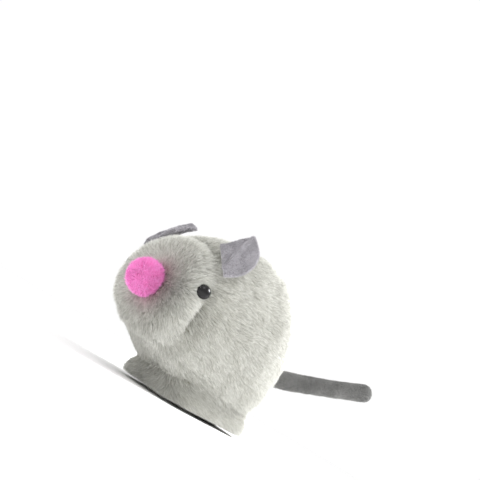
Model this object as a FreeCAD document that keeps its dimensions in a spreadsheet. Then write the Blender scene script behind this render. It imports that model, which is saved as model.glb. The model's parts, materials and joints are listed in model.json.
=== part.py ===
import FreeCAD, Part
import math
import os
import re
import sys

import Sketcher

sys.path.insert(0, os.path.join(FreeCAD.getHomePath(), "Mod", "PartDesign"))
from fcgear import involute, fcgear

# A clockwork mouse: a plush skin over a two-part moulded shell, with a spring motor on a belly plate.
# Frame: the nose points to -Y, the mouse's left side to +X and up is +Z.
# The origin is on the underside of the belly plate, under the middle of the body. Millimetres.

Vector = FreeCAD.Vector
Rotation = FreeCAD.Rotation
Placement = FreeCAD.Placement

SIZES = {
    # the plush body
    "body_length": 77, "body_width": 51, "body_height": 61,
    "skin_thickness": 4, "skin_gap": 0.3, "seam_height": 24, "seam_half_width": 19,
    "shell_wall": 1.6,
    # nose, eyes, ears and tail
    "nose_radius": 6.5, "nose_height": 29, "nose_seat": 1,
    "eye_radius": 2.5, "eye_sink": 1.0, "stem_radius": 1.0, "stem_length": 11.5, "stem_gap": 0.1,
    "washer_radius": 2.1, "washer_thickness": 0.8,
    "ear_width": 15, "ear_length": 9.8, "ear_thickness": 2.2, "ear_base_gap": 2.0,
    "tail_radius": 3.8, "tail_height": 25, "tail_gap": 0.4,
    # belly plate
    "plate_length": 40, "plate_shift": 6, "plate_thickness": 2,
    "plate_corner": 7, "ground_gap": 2,
    # driving wheels and front roller
    "axle_y": 12, "axle_radius": 1.25, "wheel_radius": 8, "hub_radius": 6.3, "wheel_width": 3.5,
    "wheel_gap": 0.4, "wheel_room": 0.8, "bush_radius": 2.1, "bush_flange": 2.9,
    "bush_flange_wall": 0.5, "running_gap": 0.05,
    "roller_y": -8, "roller_radius": 4, "roller_width": 6, "pin_radius": 1.0, "lug_width": 2,
    "lug_height": 3, "lug_length": 6, "roller_gap": 0.4,
    # spring motor
    "motor_front": 25.5, "motor_foot": 18, "motor_rear": 8.6, "motor_peak": 1, "motor_chin": 8,
    "motor_shoulder": 16, "motor_top": 31, "foot_length": 8, "rear_foot_length": 4,
    "foot_reach": 5.2, "rear_foot_reach": 4.6,
    "motor_gap": 13, "motor_wall": 1, "pillar_radius": 1.5, "pillar_neck": 0.9, "rivet_radius": 1.5,
    "rivet_height": 0.5, "arbor_radius": 1.5, "shaft_radius": 0.8, "spring_width": 5.0,
    "spring_radius": 9.2, "spring_strip": 0.35, "spring_turns": 7, "layer_gap": 0.3,
    "gear_module": 0.5, "mesh_gap": 0.1, "main_teeth": 36, "second_teeth": 28, "third_teeth": 24,
    "pinion_teeth": 10, "gear_width": 1.4, "pinion_length": 2.0,
    "first_angle": 155, "second_angle": 80, "third_angle": 146,
    "ratchet_radius": 3.6, "ratchet_teeth": 12, "ratchet_width": 1.0,
    # key and its bushing
    "key_hub_radius": 2.7, "key_hub_length": 9, "key_wing_radius": 5.6, "key_wing_spread": 6.2,
    "key_wing_wall": 1.8, "key_hole_radius": 2.0, "key_gap": 0.5,
    "bushing_radius": 3.0, "bushing_flange": 4.6, "bushing_wall": 0.8,
    # screws
    "screw_radius": 1.0, "screw_head": 1.9, "screw_head_height": 1.2, "screw_gap": 0.1,
    "post_radius": 2.0, "post_height": 12, "boss_radius": 2.8, "boss_pilot": 8,
}
# Sizes that follow others: the plate is wide enough for the motor's feet and the wheels beside it.
TIED = {"plate_width": "motor_gap + 15"}

# Cross-sections of the body from the snout to the rump: place along the length, then the
# half-width, the top and the bottom as shares of the body's half-width and height.
SECTIONS = (
    (0.00, 0.47, 0.590, 0.385),
    (0.04, 0.745, 0.720, 0.262),
    (0.12, 0.88, 0.836, 0.190),
    (0.25, 0.94, 0.934, 0.102),
    (0.40, 0.98, 0.984, 0.034),
    (0.55, 1.00, 1.000, 0.000),
    (0.70, 0.94, 0.934, 0.000),
    (0.85, 0.706, 0.770, 0.045),
    (0.95, 0.43, 0.607, 0.160),
    (1.00, 0.12, 0.475, 0.328),
)
ROUND_TOP = 2.3      # exponent of the upper half of a section: 2 is an ellipse
FLAT_BELLY = 2.5     # exponent of the lower half: larger is squarer
SECTION_POINTS = 24

ACROSS = Rotation(Vector(1, 1, 1), 120)     # turns a piece's own Z to the mouse's X, own X to Y

doc = FreeCAD.newDocument("clockwork_mouse")
sheet = doc.addObject("Spreadsheet::Sheet", "sizes")
for row, (alias, value) in enumerate({**SIZES, **TIED}.items(), start=1):
    sheet.set("A%d" % row, alias.replace("_", " "))
    sheet.set("B%d" % row, "=" + value if alias in TIED else str(value))
    sheet.setAlias("B%d" % row, alias)
doc.recompute()

nodes = []      # the finished sub-parts, in the order they are made


def size(alias):
    """The sheet's value for one driving size."""
    return float(sheet.get(alias))


def bound(text):
    """A formula in plain size names, written for setExpression."""
    names = set(re.findall(r"[a-z_]+", text)) & {*SIZES, *TIED}
    for name in sorted(names, key=len, reverse=True):
        text = re.sub(r"(?<![a-z_.])%s(?![a-z_])" % name, "sizes." + name, text)
    return text


def worked_out(text):
    """The present value of a formula in plain size names."""
    answer = sheet.evalExpression(bound(text))
    return float(getattr(answer, "Value", answer))


def kept(piece, label):
    """Names a finished sub-part after its node."""
    piece.Label = label
    nodes.append(piece)
    return piece


def place(piece, x="0", y="0", z="0", rotation=None):
    """Puts a piece at formulas for X, Y and Z."""
    turn = rotation if rotation is not None else Rotation()
    start = Vector(worked_out(x), worked_out(y), worked_out(z))
    piece.Placement = Placement(start, turn)
    for axis, formula in (("x", x), ("y", y), ("z", z)):
        piece.setExpression("Placement.Base." + axis, bound(formula))
    return piece


def rod(name, radius, length, x="0", y="0", z="0", rotation=ACROSS):
    """A cylinder that starts at x, y, z and runs along X unless turned."""
    piece = doc.addObject("Part::Cylinder", name)
    piece.setExpression("Radius", bound(radius))
    piece.setExpression("Height", bound(length))
    return place(piece, x, y, z, rotation)


def upright(name, radius, length, x, y, z):
    return rod(name, radius, length, x, y, z, Rotation())


def cone(name, low_radius, high_radius, length, x, y, z):
    piece = doc.addObject("Part::Cone", name)
    piece.setExpression("Radius1", bound(low_radius))
    piece.setExpression("Radius2", bound(high_radius))
    piece.setExpression("Height", bound(length))
    return place(piece, x, y, z)


def block(name, long_x, long_y, long_z, x, y, z):
    """A box from its lowest corner."""
    piece = doc.addObject("Part::Box", name)
    piece.setExpression("Length", bound(long_x))
    piece.setExpression("Width", bound(long_y))
    piece.setExpression("Height", bound(long_z))
    return place(piece, x, y, z)


def joined(name, *pieces):
    piece = doc.addObject("Part::MultiFuse", name)
    piece.Shapes = list(pieces)
    return piece


def cut(name, base, *tools):
    tool = tools[0] if len(tools) == 1 else joined(name + "_tools", *tools)
    piece = doc.addObject("Part::Cut", name)
    piece.Base = base
    piece.Tool = tool
    return piece


def grouped(name, pieces):
    piece = doc.addObject("Part::Compound", name)
    piece.Links = list(pieces)
    return piece


def solid_feature(label, shape):
    """A sub-part whose shape is made with Part's own functions."""
    piece = doc.addObject("Part::Feature", label)
    piece.Shape = shape
    return kept(piece, label)


def body_named(label):
    body = doc.addObject("PartDesign::Body", label)
    return kept(body, label)


def sketch_on(body, role, name):
    """A sketch on one of the body's own origin planes."""
    sketch = body.newObject("Sketcher::SketchObject", name)
    plane = [item for item in body.Origin.OriginFeatures if item.Role == role][0]
    sketch.AttachmentSupport = [(plane, "")]
    sketch.MapMode = "FlatFace"
    return sketch


def measure(sketch, kind, geometry, point, formula):
    """Binds a point's distance from the sketch's origin along one of its axes."""
    value = worked_out(formula)
    if abs(value) < 1e-9:
        axis = -2 if kind == "DistanceX" else -1
        sketch.addConstraint(Sketcher.Constraint("PointOnObject", geometry, point, axis))
        return
    if value > 0:
        rule = Sketcher.Constraint(kind, -1, 1, geometry, point, value)
    else:
        rule = Sketcher.Constraint(kind, geometry, point, -1, 1, -value)
        formula = "-(%s)" % formula
    index = sketch.addConstraint(rule)
    sketch.setExpression("Constraints[%d]" % index, bound(formula))


def polygon(sketch, corners):
    """A closed outline whose corners are pairs of formulas."""
    points = [Vector(worked_out(across), worked_out(up), 0) for across, up in corners]
    first = sketch.GeometryCount
    count = len(points)
    for index in range(count):
        sketch.addGeometry(Part.LineSegment(points[index], points[(index + 1) % count]), False)
    for index in range(count):
        following = first + (index + 1) % count
        sketch.addConstraint(Sketcher.Constraint("Coincident", first + index, 2, following, 1))
    for index, (across, up) in enumerate(corners):
        measure(sketch, "DistanceX", first + index, 1, across)
        measure(sketch, "DistanceY", first + index, 1, up)


def circle(sketch, radius, across, up):
    """A circle whose radius and centre are formulas."""
    centre = Vector(worked_out(across), worked_out(up), 0)
    index = sketch.addGeometry(Part.Circle(centre, Vector(0, 0, 1), worked_out(radius)), False)
    rule = sketch.addConstraint(Sketcher.Constraint("Radius", index, worked_out(radius)))
    sketch.setExpression("Constraints[%d]" % rule, bound(radius))
    measure(sketch, "DistanceX", index, 3, across)
    measure(sketch, "DistanceY", index, 3, up)


def rectangle(sketch, low_across, high_across, low_up, high_up):
    polygon(sketch, ((low_across, low_up), (high_across, low_up),
                     (high_across, high_up), (low_across, high_up)))


def pad(body, sketch, length, reverse=False, middle=False):
    feature = body.newObject("PartDesign::Pad", sketch.Name + "_pad")
    feature.Profile = sketch
    feature.setExpression("Length", bound(length))
    feature.Reversed = reverse
    feature.Midplane = middle
    sketch.Visibility = False
    doc.recompute()
    return feature


def pocket_through(body, sketch):
    """Cuts a sketch right through the body, and checks that something was cut."""
    before = body.Shape.Volume
    feature = body.newObject("PartDesign::Pocket", sketch.Name + "_pocket")
    feature.Profile = sketch
    feature.Type = "ThroughAll"
    feature.Midplane = True
    doc.recompute()
    if body.Shape.Volume >= before - 1e-6:
        raise ValueError(sketch.Name + " cuts nothing")
    return feature


def turned(body, corners):
    """Revolves an outline of (radius, height) corners about the body's own Z."""
    sketch = sketch_on(body, "XZ_Plane", body.Name + "_profile")
    polygon(sketch, corners)
    feature = body.newObject("PartDesign::Revolution", body.Name + "_turned")
    feature.Profile = sketch
    feature.ReferenceAxis = (sketch, ["V_Axis"])
    feature.Angle = 360
    doc.recompute()
    return feature


# ---------------------------------------------------------------- the body's outer form

def section_wire(y, half_width, top, bottom):
    """One closed cross-section, rounder above and flatter below."""
    middle = (top + bottom) / 2
    half_height = (top - bottom) / 2
    points = []
    for index in range(SECTION_POINTS):
        angle = 2 * math.pi * (index + 0.5) / SECTION_POINTS
        power = 2 / (ROUND_TOP if math.sin(angle) > 0 else FLAT_BELLY)
        across = math.copysign(abs(math.cos(angle)) ** power, math.cos(angle))
        up = math.copysign(abs(math.sin(angle)) ** power, math.sin(angle))
        points.append(Vector(half_width * across, y, middle + half_height * up))
    curve = Part.BSplineCurve()
    curve.interpolate(Points=points, PeriodicFlag=True)
    return Part.Wire([curve.toShape()])


def body_form(inset):
    """The body's solid form, smaller all round by inset."""
    half_length = size("body_length") / 2 - inset
    half_width = size("body_width") / 2 - inset
    middle = size("body_height") / 2
    shrink = (middle - inset) / middle
    wires = []
    for share, wide, top, bottom in SECTIONS:
        high = middle + (top * 2 - 1) * middle * shrink
        low = middle + (bottom * 2 - 1) * middle * shrink
        wires.append(section_wire((2 * share - 1) * half_length, wide * half_width, high, low))
    return Part.makeLoft(wires, True, False)


def half_width_at(y, z):
    """Half the body's width at one point of its side, for pieces that sit on it."""
    form = body_form(0)
    probe = Part.makeLine(Vector(0, y, z), Vector(size("body_width"), y, z))
    return form.common(probe).BoundBox.XMax


def cylinder_between(start, end, radius):
    run = end - start
    return Part.makeCylinder(radius, run.Length, start, run)


def plate_outline(extra):
    """The belly plate's rounded outline as a face at z = 0, larger by extra."""
    half_x = size("plate_width") / 2 + extra
    half_y = size("plate_length") / 2 + extra
    corner = size("plate_corner") + extra
    shift = size("plate_shift")
    base = Part.makeBox(2 * half_x, 2 * half_y, 1, Vector(-half_x, shift - half_y, 0))
    upright_edges = [edge for edge in base.Edges if abs(edge.BoundBox.ZLength - 1) < 1e-6]
    rounded = base.makeFillet(corner, upright_edges)
    return [face for face in rounded.Faces if face.BoundBox.ZMax < 1e-6][0]


def plate_prism(extra, low, high):
    """A column on the plate's outline, between two heights."""
    face = plate_outline(extra)
    face.translate(Vector(0, 0, low))
    return face.extrude(Vector(0, 0, high - low))


# ---------------------------------------------------------------- shaft positions of the gear train

AXLE_Z = "(wheel_radius - ground_gap)"
THIRD_STEP = "(gear_module * (third_teeth + pinion_teeth) / 2 + mesh_gap)"
SECOND_STEP = "(gear_module * (second_teeth + pinion_teeth) / 2 + mesh_gap)"
FIRST_STEP = "(gear_module * (main_teeth + pinion_teeth) / 2 + mesh_gap)"
THIRD_Y = "(axle_y + %s * cos(third_angle * 1deg))" % THIRD_STEP
THIRD_Z = "(%s + %s * sin(third_angle * 1deg))" % (AXLE_Z, THIRD_STEP)
SECOND_Y = "(%s + %s * cos(second_angle * 1deg))" % (THIRD_Y, SECOND_STEP)
SECOND_Z = "(%s + %s * sin(second_angle * 1deg))" % (THIRD_Z, SECOND_STEP)
ARBOR_Y = "(%s + %s * cos(first_angle * 1deg))" % (SECOND_Y, FIRST_STEP)
ARBOR_Z = "(%s + %s * sin(first_angle * 1deg))" % (SECOND_Z, FIRST_STEP)

# Places along X, from the right motor plate to the left one.
INNER = "(motor_gap / 2)"
OUTER = "(motor_gap / 2 + motor_wall)"
SPRING_X = "(-motor_gap / 2 + layer_gap)"
MAIN_X = "(%s + spring_width + layer_gap)" % SPRING_X
RATCHET_X = "(%s + (pinion_length + gear_width) / 2 + 0.2)" % MAIN_X
SECOND_X = "(%s + pinion_length + layer_gap)" % MAIN_X
THIRD_X = "(%s + pinion_length + layer_gap)" % SECOND_X
WHEEL_X = "(%s + bush_flange_wall + wheel_gap)" % OUTER

# Centres of the four pillars, as (y, z), set out from the driving axle.
PILLARS = tuple(("(axle_y + %s)" % out, "(%s + %s)" % (AXLE_Z, up))
                for out, up in (("-23.5", "11"), ("-23.5", "28.5"), ("-2", "28"), ("5.5", "15")))
# Countersunk screws that come up through the belly plate, as (x, y), on both sides.
MOTOR_SCREWS = tuple(("%d * (motor_gap / 2 + %s)" % (side, out), "(axle_y + %s)" % back)
                     for side in (1, -1) for out, back in (("3.5", "-14"), ("-2.1", "6.6")))
SHELL_SCREWS = tuple(("%d * %s" % (side, out), "(plate_shift + %s)" % back)
                     for side in (1, -1)
                     for out, back in (("(plate_width / 2 - 4.2)", "4.6 - plate_length / 2"),
                                       ("5", "plate_length / 2 - 2.4")))
# Screws across the two shell halves, as (y, z) in shares of the body's length and height.
ACROSS_SCREWS = tuple((along * size("body_length"), up * size("body_height"))
                      for along, up in ((-0.26, 0.738), (0.039, 0.82), (0.338, 0.541)))
HEAD_ROOM = 2        # how far inside its boss the head of a screw across the shell lies
TIP_ROOM = 2         # how much longer a post is than the pilot hole in it
RIB_WALL = 1.0       # thickness of the ribs that tie the posts to the shell's foot
FAR = 200            # longer than anything on the mouse, for halves and cutting tools

arbor_y = worked_out(ARBOR_Y)
arbor_z = worked_out(ARBOR_Z)


# ---------------------------------------------------------------- soft skin, shell halves and trim

def mirrored(shape):
    """The same shape on the mouse's right side."""
    return shape.mirror(Vector(0, 0, 0), Vector(1, 0, 0))


EYE_ALONG = -0.427       # shares of the body's length and height
EYE_UP = 0.543
EYE_AIM = Vector(-0.885, 0.466, 0)      # from the eye straight into the head
eye_side = half_width_at(EYE_ALONG * size("body_length"), EYE_UP * size("body_height"))
EYE = Vector(eye_side, EYE_ALONG * size("body_length"), EYE_UP * size("body_height"))
EYE = EYE + EYE_AIM * size("eye_sink")


def eye_stem(extra):
    return cylinder_between(EYE, EYE + EYE_AIM * size("stem_length"), size("stem_radius") + extra)


BUSHING_OUT = "(body_width / 2 + 0.5)"


def key_opening(extra):
    start = Vector(-size("body_width"), arbor_y, arbor_z)
    end = Vector(-size("motor_gap") / 2 - 4, arbor_y, arbor_z)
    return cylinder_between(start, end, size("bushing_radius") + extra)


def flange_seat(extra):
    """Room for the bushing's flange in the outside of the skin."""
    start = Vector(-size("body_width"), arbor_y, arbor_z)
    end = Vector(size("bushing_wall") - worked_out(BUSHING_OUT), arbor_y, arbor_z)
    return cylinder_between(start, end, size("bushing_flange") + extra)


shell_inset = size("skin_thickness") + size("skin_gap")
shell_form = body_form(shell_inset)
prism_top = size("plate_thickness") + size("post_height")
shell_foot = plate_prism(0, size("plate_thickness"), prism_top)
below = Part.makeBox(FAR, FAR, FAR, Vector(-FAR / 2, -FAR / 2, size("plate_thickness") - FAR))

skin = body_form(0).cut(body_form(size("skin_thickness")))
skin = skin.cut(plate_prism(size("skin_gap"), -FAR, prism_top))
skin = skin.cut(key_opening(size("stem_gap"))).cut(flange_seat(size("stem_gap")))
for stem in (eye_stem(size("stem_gap")), mirrored(eye_stem(size("stem_gap")))):
    skin = skin.cut(stem)


def belly_gusset():
    """The lens-shaped column that parts the belly strip from the two sides."""
    half_length = size("body_length") / 2 + 1
    bulge = size("seam_half_width")
    front = Vector(0, -half_length, 0)
    rear = Vector(0, half_length, 0)
    left = Part.Arc(front, Vector(bulge, 0, 0), rear).toShape()
    right = Part.Arc(rear, Vector(-bulge, 0, 0), front).toShape()
    face = Part.Face(Part.Wire([left, right]))
    face.translate(Vector(0, 0, -1))
    return face.extrude(Vector(0, 0, size("seam_height") + 1))


def left_half():
    return Part.makeBox(FAR, FAR, FAR, Vector(0, -FAR / 2, -FAR / 2))


gusset = belly_gusset()
upper_skin = skin.cut(gusset)
solid_feature("belly_panel", skin.common(gusset))
solid_feature("left_side_panel", upper_skin.common(left_half()))
solid_feature("right_side_panel", upper_skin.cut(left_half()))

# The two moulded halves: a dome with a straight foot on the plate, posts for the screws that
# come up through the plate, and bosses for the screws that go across.
wall = size("shell_wall")
shell = shell_form.fuse(shell_foot)
shell = shell.cut(body_form(shell_inset + wall)).cut(plate_prism(-wall, -FAR, prism_top))
shell = shell.cut(below)
inside = body_form(shell_inset + wall / 2).fuse(plate_prism(-wall / 2, size("plate_thickness"),
                                                            prism_top))
post_foot = size("plate_thickness")
for x_text, y_text in SHELL_SCREWS:
    x, y = worked_out(x_text), worked_out(y_text)
    post = Part.makeCylinder(size("post_radius"), size("post_height"), Vector(x, y, post_foot))
    if y < size("plate_shift"):
        reach = size("plate_width") / 2 - wall / 2 - abs(x)
        rib = Part.makeBox(reach, RIB_WALL, size("post_height"),
                           Vector(x if x > 0 else x - reach, y - RIB_WALL / 2, post_foot))
    else:
        reach = size("plate_shift") + size("plate_length") / 2 - wall / 2 - y
        rib = Part.makeBox(RIB_WALL, reach, size("post_height"),
                           Vector(x - RIB_WALL / 2, y, post_foot))
    shell = shell.fuse(post.fuse(rib).common(inside))
for y, z in ACROSS_SCREWS:
    boss = cylinder_between(Vector(-FAR, y, z), Vector(FAR, y, z), size("boss_radius"))
    shell = shell.fuse(boss.common(inside))
for x_text, y_text in SHELL_SCREWS:
    pilot = Part.makeCylinder(size("screw_radius"), size("post_height") - TIP_ROOM,
                              Vector(worked_out(x_text), worked_out(y_text), post_foot))
    shell = shell.cut(pilot)
for y, z in ACROSS_SCREWS:
    head_x = HEAD_ROOM - size("boss_pilot")
    shell = shell.cut(cylinder_between(Vector(head_x, y, z), Vector(0, y, z),
                                       size("screw_radius") + size("screw_gap")))
    shell = shell.cut(cylinder_between(Vector(0, y, z), Vector(size("boss_pilot"), y, z),
                                       size("screw_radius")))
    shell = shell.cut(cylinder_between(Vector(-FAR, y, z), Vector(head_x, y, z),
                                       size("screw_head") + size("screw_gap")))
shell = shell.cut(key_opening(size("running_gap")))
for stem in (eye_stem(size("stem_gap")), mirrored(eye_stem(size("stem_gap")))):
    shell = shell.cut(stem)
solid_feature("left_body_shell", shell.common(left_half()))
solid_feature("right_body_shell", shell.cut(left_half()))

# Nose pompom: a ball seated flat on the snout, just clear of it.
NOSE_CLEAR = 0.05
nose_face = -size("body_length") / 2
nose_ball = Part.makeSphere(size("nose_radius"),
                            Vector(0, nose_face - size("nose_seat"), size("nose_height")))
nose_ball = nose_ball.cut(Part.makeBox(FAR, FAR, FAR, Vector(-FAR / 2, nose_face - NOSE_CLEAR, -FAR / 2)))
solid_feature("nose_pompom", nose_ball)


def eye_shape(side):
    """A bead that sits on the skin, with a stem through skin and shell."""
    bead = Part.makeSphere(size("eye_radius"), EYE)
    stem = eye_stem(0)
    if side < 0:
        bead, stem = mirrored(bead), mirrored(stem)
    return bead.cut(body_form(0)).fuse(stem)


STEM_PAST = 1.2      # how far the stem's tip stands past its washer


def washer_shape():
    """A locking washer on the stem, just inside the shell wall."""
    start = EYE + EYE_AIM * (size("stem_length") - STEM_PAST - size("washer_thickness"))
    end = start + EYE_AIM * size("washer_thickness")
    return cylinder_between(start, end, size("washer_radius")).cut(eye_stem(0))


solid_feature("left_eye", eye_shape(1))
solid_feature("right_eye", eye_shape(-1))
solid_feature("eye_washers", Part.makeCompound([washer_shape(), mirrored(washer_shape())]))


# The ear's root line on the body's shoulder, the way its flap points, and its outline in shares of
# the width along the root and of the length along the flap.
EAR_ROOT = Vector(0.672 * size("body_width") / 2, -0.36 * size("body_length"),
                  0.75 * size("body_height"))
EAR_ALONG = Vector(0.68, 0, -0.733)
EAR_OUT = Vector(0.66, -0.35, 0.66)
EAR_FLAP = Vector(0.6, 0.57, 0.56)
RIGHT_EAR_FLAP = Vector(0.45, 0.79, 0.42)       # lies further back; before it is mirrored
EAR_OUTLINE = ((-0.30, 0.0), (-0.46, 0.22), (-0.60, 0.55), (-0.69, 0.86), (-0.55, 0.95), (-0.34, 0.98),
               (-0.14, 1.0), (0.13, 0.89), (0.34, 0.63), (0.45, 0.30), (0.30, 0.0))
EAR_ROOT_SHARE = 0.30


def ear_shape(aim):
    """A leaning leaf with a rolled root, clear of the skin so that it can fold."""
    along = Vector(EAR_ALONG)
    along.normalize()
    face = aim.cross(along)
    face.normalize()
    flap = along.cross(face)
    width = size("ear_width")
    thick = size("ear_thickness")
    rim = Part.BSplineCurve()
    rim.interpolate([Vector(out * size("ear_length"), share * width, -thick / 2)
                     for share, out in EAR_OUTLINE])
    closing = Part.makeLine(rim.EndPoint, rim.StartPoint)
    leaf = Part.Face(Part.Wire([rim.toShape(), closing])).extrude(Vector(0, 0, thick))
    root = Part.makeCylinder(thick / 2, 2 * EAR_ROOT_SHARE * width,
                             Vector(0, -EAR_ROOT_SHARE * width, 0), Vector(0, 1, 0))
    leaf = leaf.fuse(root)
    hinge = EAR_ROOT + EAR_OUT * size("ear_base_gap")
    leaf.Placement = Placement(FreeCAD.Matrix(flap.x, along.x, face.x, hinge.x,
                                              flap.y, along.y, face.y, hinge.y,
                                              flap.z, along.z, face.z, hinge.z, 0, 0, 0, 1))
    return leaf


solid_feature("left_ear", ear_shape(EAR_FLAP))
solid_feature("right_ear", mirrored(ear_shape(RIGHT_EAR_FLAP)))

# Tail: a stuffed tube with a ball root behind the rump; it lies back, then curls up and left.
tail_root = Vector(0, size("body_length") / 2 + size("tail_radius") + size("tail_gap"),
                   size("tail_height"))
TAIL_KNEE = tail_root + Vector(3, 15.5, 3.5)
TAIL_END = tail_root + Vector(27, 36, 17)


def tail_shape():
    """Two straight runs and the tangent arc between them, with round ends."""
    first = TAIL_KNEE - tail_root
    second = TAIL_END - TAIL_KNEE
    turn = first.getAngle(second)
    radius = 0.45 * min(first.Length, second.Length) / math.tan(turn / 2)
    back = radius * math.tan(turn / 2)
    first.normalize()
    second.normalize()
    start = TAIL_KNEE - first * back
    end = TAIL_KNEE + second * back
    inward = second - first
    inward.normalize()
    centre = TAIL_KNEE + inward * (radius / math.cos(turn / 2))
    middle = centre - inward * radius
    path = Part.Wire([Part.makeLine(tail_root, start), Part.Arc(start, middle, end).toShape(),
                      Part.makeLine(end, TAIL_END)])
    ring = Part.Wire([Part.Circle(tail_root, first, size("tail_radius")).toShape()])
    tube = path.makePipeShell([ring], True, False)
    for ball in (tail_root, TAIL_END):
        tube = tube.fuse(Part.makeSphere(size("tail_radius"), ball))
    return tube


solid_feature("tail", tail_shape())


# ---------------------------------------------------------------- belly plate and front roller

def base_plate():
    body = body_named("base_plate")
    sketch = sketch_on(body, "XY_Plane", "plate_outline")
    rectangle(sketch, "-plate_width / 2", "plate_width / 2",
              "plate_shift - plate_length / 2", "plate_shift + plate_length / 2")
    plate_pad = pad(body, sketch, "plate_thickness")
    corners = ["Edge%d" % (index + 1) for index, edge in enumerate(plate_pad.Shape.Edges)
               if edge.BoundBox.ZLength > 0.9 * size("plate_thickness")
               and edge.BoundBox.XLength + edge.BoundBox.YLength < 1e-6]
    rounding = body.newObject("PartDesign::Fillet", "plate_corners")
    rounding.Base = (plate_pad, corners)
    rounding.setExpression("Radius", bound("plate_corner"))
    doc.recompute()
    lugs = sketch_on(body, "YZ_Plane", "lug_side")
    rectangle(lugs, "roller_y - lug_length / 2", "roller_y + lug_length / 2",
              "plate_thickness / 2", "plate_thickness + lug_height")
    pad(body, lugs, "roller_width + 2 * roller_gap + 2 * lug_width", middle=True)
    slots = sketch_on(body, "XY_Plane", "wheel_slots")
    low_x = "%s + wheel_gap / 2" % OUTER
    high_x = "%s + wheel_width + wheel_gap" % WHEEL_X
    reach = "sqrt(wheel_radius ^ 2 - (%s - plate_thickness) ^ 2) + wheel_room" % AXLE_Z
    rectangle(slots, low_x, high_x, "axle_y - (%s)" % reach, "axle_y + (%s)" % reach)
    rectangle(slots, "-(%s)" % high_x, "-(%s)" % low_x,
              "axle_y - (%s)" % reach, "axle_y + (%s)" % reach)
    rectangle(slots, "-roller_width / 2 - roller_gap", "roller_width / 2 + roller_gap",
              "roller_y - roller_radius - roller_gap", "roller_y + roller_radius + roller_gap")
    pocket_through(body, slots)
    bore = sketch_on(body, "YZ_Plane", "roller_pin_bore")
    circle(bore, "pin_radius", "roller_y", "roller_radius - ground_gap")
    pocket_through(body, bore)
    holes = sketch_on(body, "XY_Plane", "screw_holes")
    for x, y in MOTOR_SCREWS + SHELL_SCREWS:
        circle(holes, "screw_radius + screw_gap", x, y)
    pocket_through(body, holes)
    for index, (x, y) in enumerate(MOTOR_SCREWS + SHELL_SCREWS):
        sink = body.newObject("PartDesign::SubtractiveCone", "countersink_%d" % index)
        sink.setExpression("Radius1", bound("screw_head"))
        sink.setExpression("Radius2", bound("screw_radius + screw_gap"))
        sink.setExpression("Height", bound("screw_head_height"))
        sink.AttachmentOffset = Placement(Vector(worked_out(x), worked_out(y), 0), Rotation())
        plane = [item for item in body.Origin.OriginFeatures if item.Role == "XY_Plane"][0]
        sink.AttachmentSupport = [(plane, "")]
        sink.MapMode = "FlatFace"
        doc.recompute()
    return body


base_plate()


def countersunk(name, x, y, length):
    head = cone(name + "_head", "screw_head - screw_gap", "screw_radius", "screw_head_height",
                x, y, "0.1")
    shank = upright(name + "_shank", "screw_radius", length, x, y, "0.1")
    return joined(name, head, shank)


kept(grouped("motor_screws", [
    countersunk("motor_screw_%d" % index, x, y, "plate_thickness + motor_wall")
    for index, (x, y) in enumerate(MOTOR_SCREWS)]), "motor_screws")
kept(grouped("base_screws", [
    countersunk("base_screw_%d" % index, x, y, "plate_thickness + post_height - 3")
    for index, (x, y) in enumerate(SHELL_SCREWS)]), "base_screws")


def shell_screw(name, y, z):
    head_x = "2 - boss_pilot - screw_head_height"
    head = rod(name + "_head", "screw_head", "screw_head_height", head_x, y, z)
    shank = rod(name + "_shank", "screw_radius", "2 * boss_pilot - 3", "2 - boss_pilot", y, z)
    return joined(name, head, shank)


kept(grouped("shell_screws", [
    shell_screw("shell_screw_%d" % index, str(y), str(z))
    for index, (y, z) in enumerate(ACROSS_SCREWS)]), "shell_screws")

ROLLER_Z = "roller_radius - ground_gap"
roller = rod("roller_blank", "roller_radius", "roller_width", "-roller_width / 2", "roller_y",
             ROLLER_Z)
roller_groove = cut("roller_ring",
                    rod("roller_ring_out", "roller_radius + 1", "1.2", "-0.6", "roller_y", ROLLER_Z),
                    rod("roller_ring_in", "roller_radius - 0.6", "1.2", "-0.6", "roller_y", ROLLER_Z))
roller_bore = rod("roller_bore", "pin_radius + running_gap", "roller_width + 2",
                  "-roller_width / 2 - 1", "roller_y", ROLLER_Z)
kept(cut("front_roller", roller, roller_groove, roller_bore), "front_roller")
kept(rod("roller_pin", "pin_radius", "roller_width + 2 * roller_gap + 2 * lug_width",
         "-(roller_width / 2 + roller_gap + lug_width)", "roller_y", ROLLER_Z), "roller_pin")


# ---------------------------------------------------------------- motor frame

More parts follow.
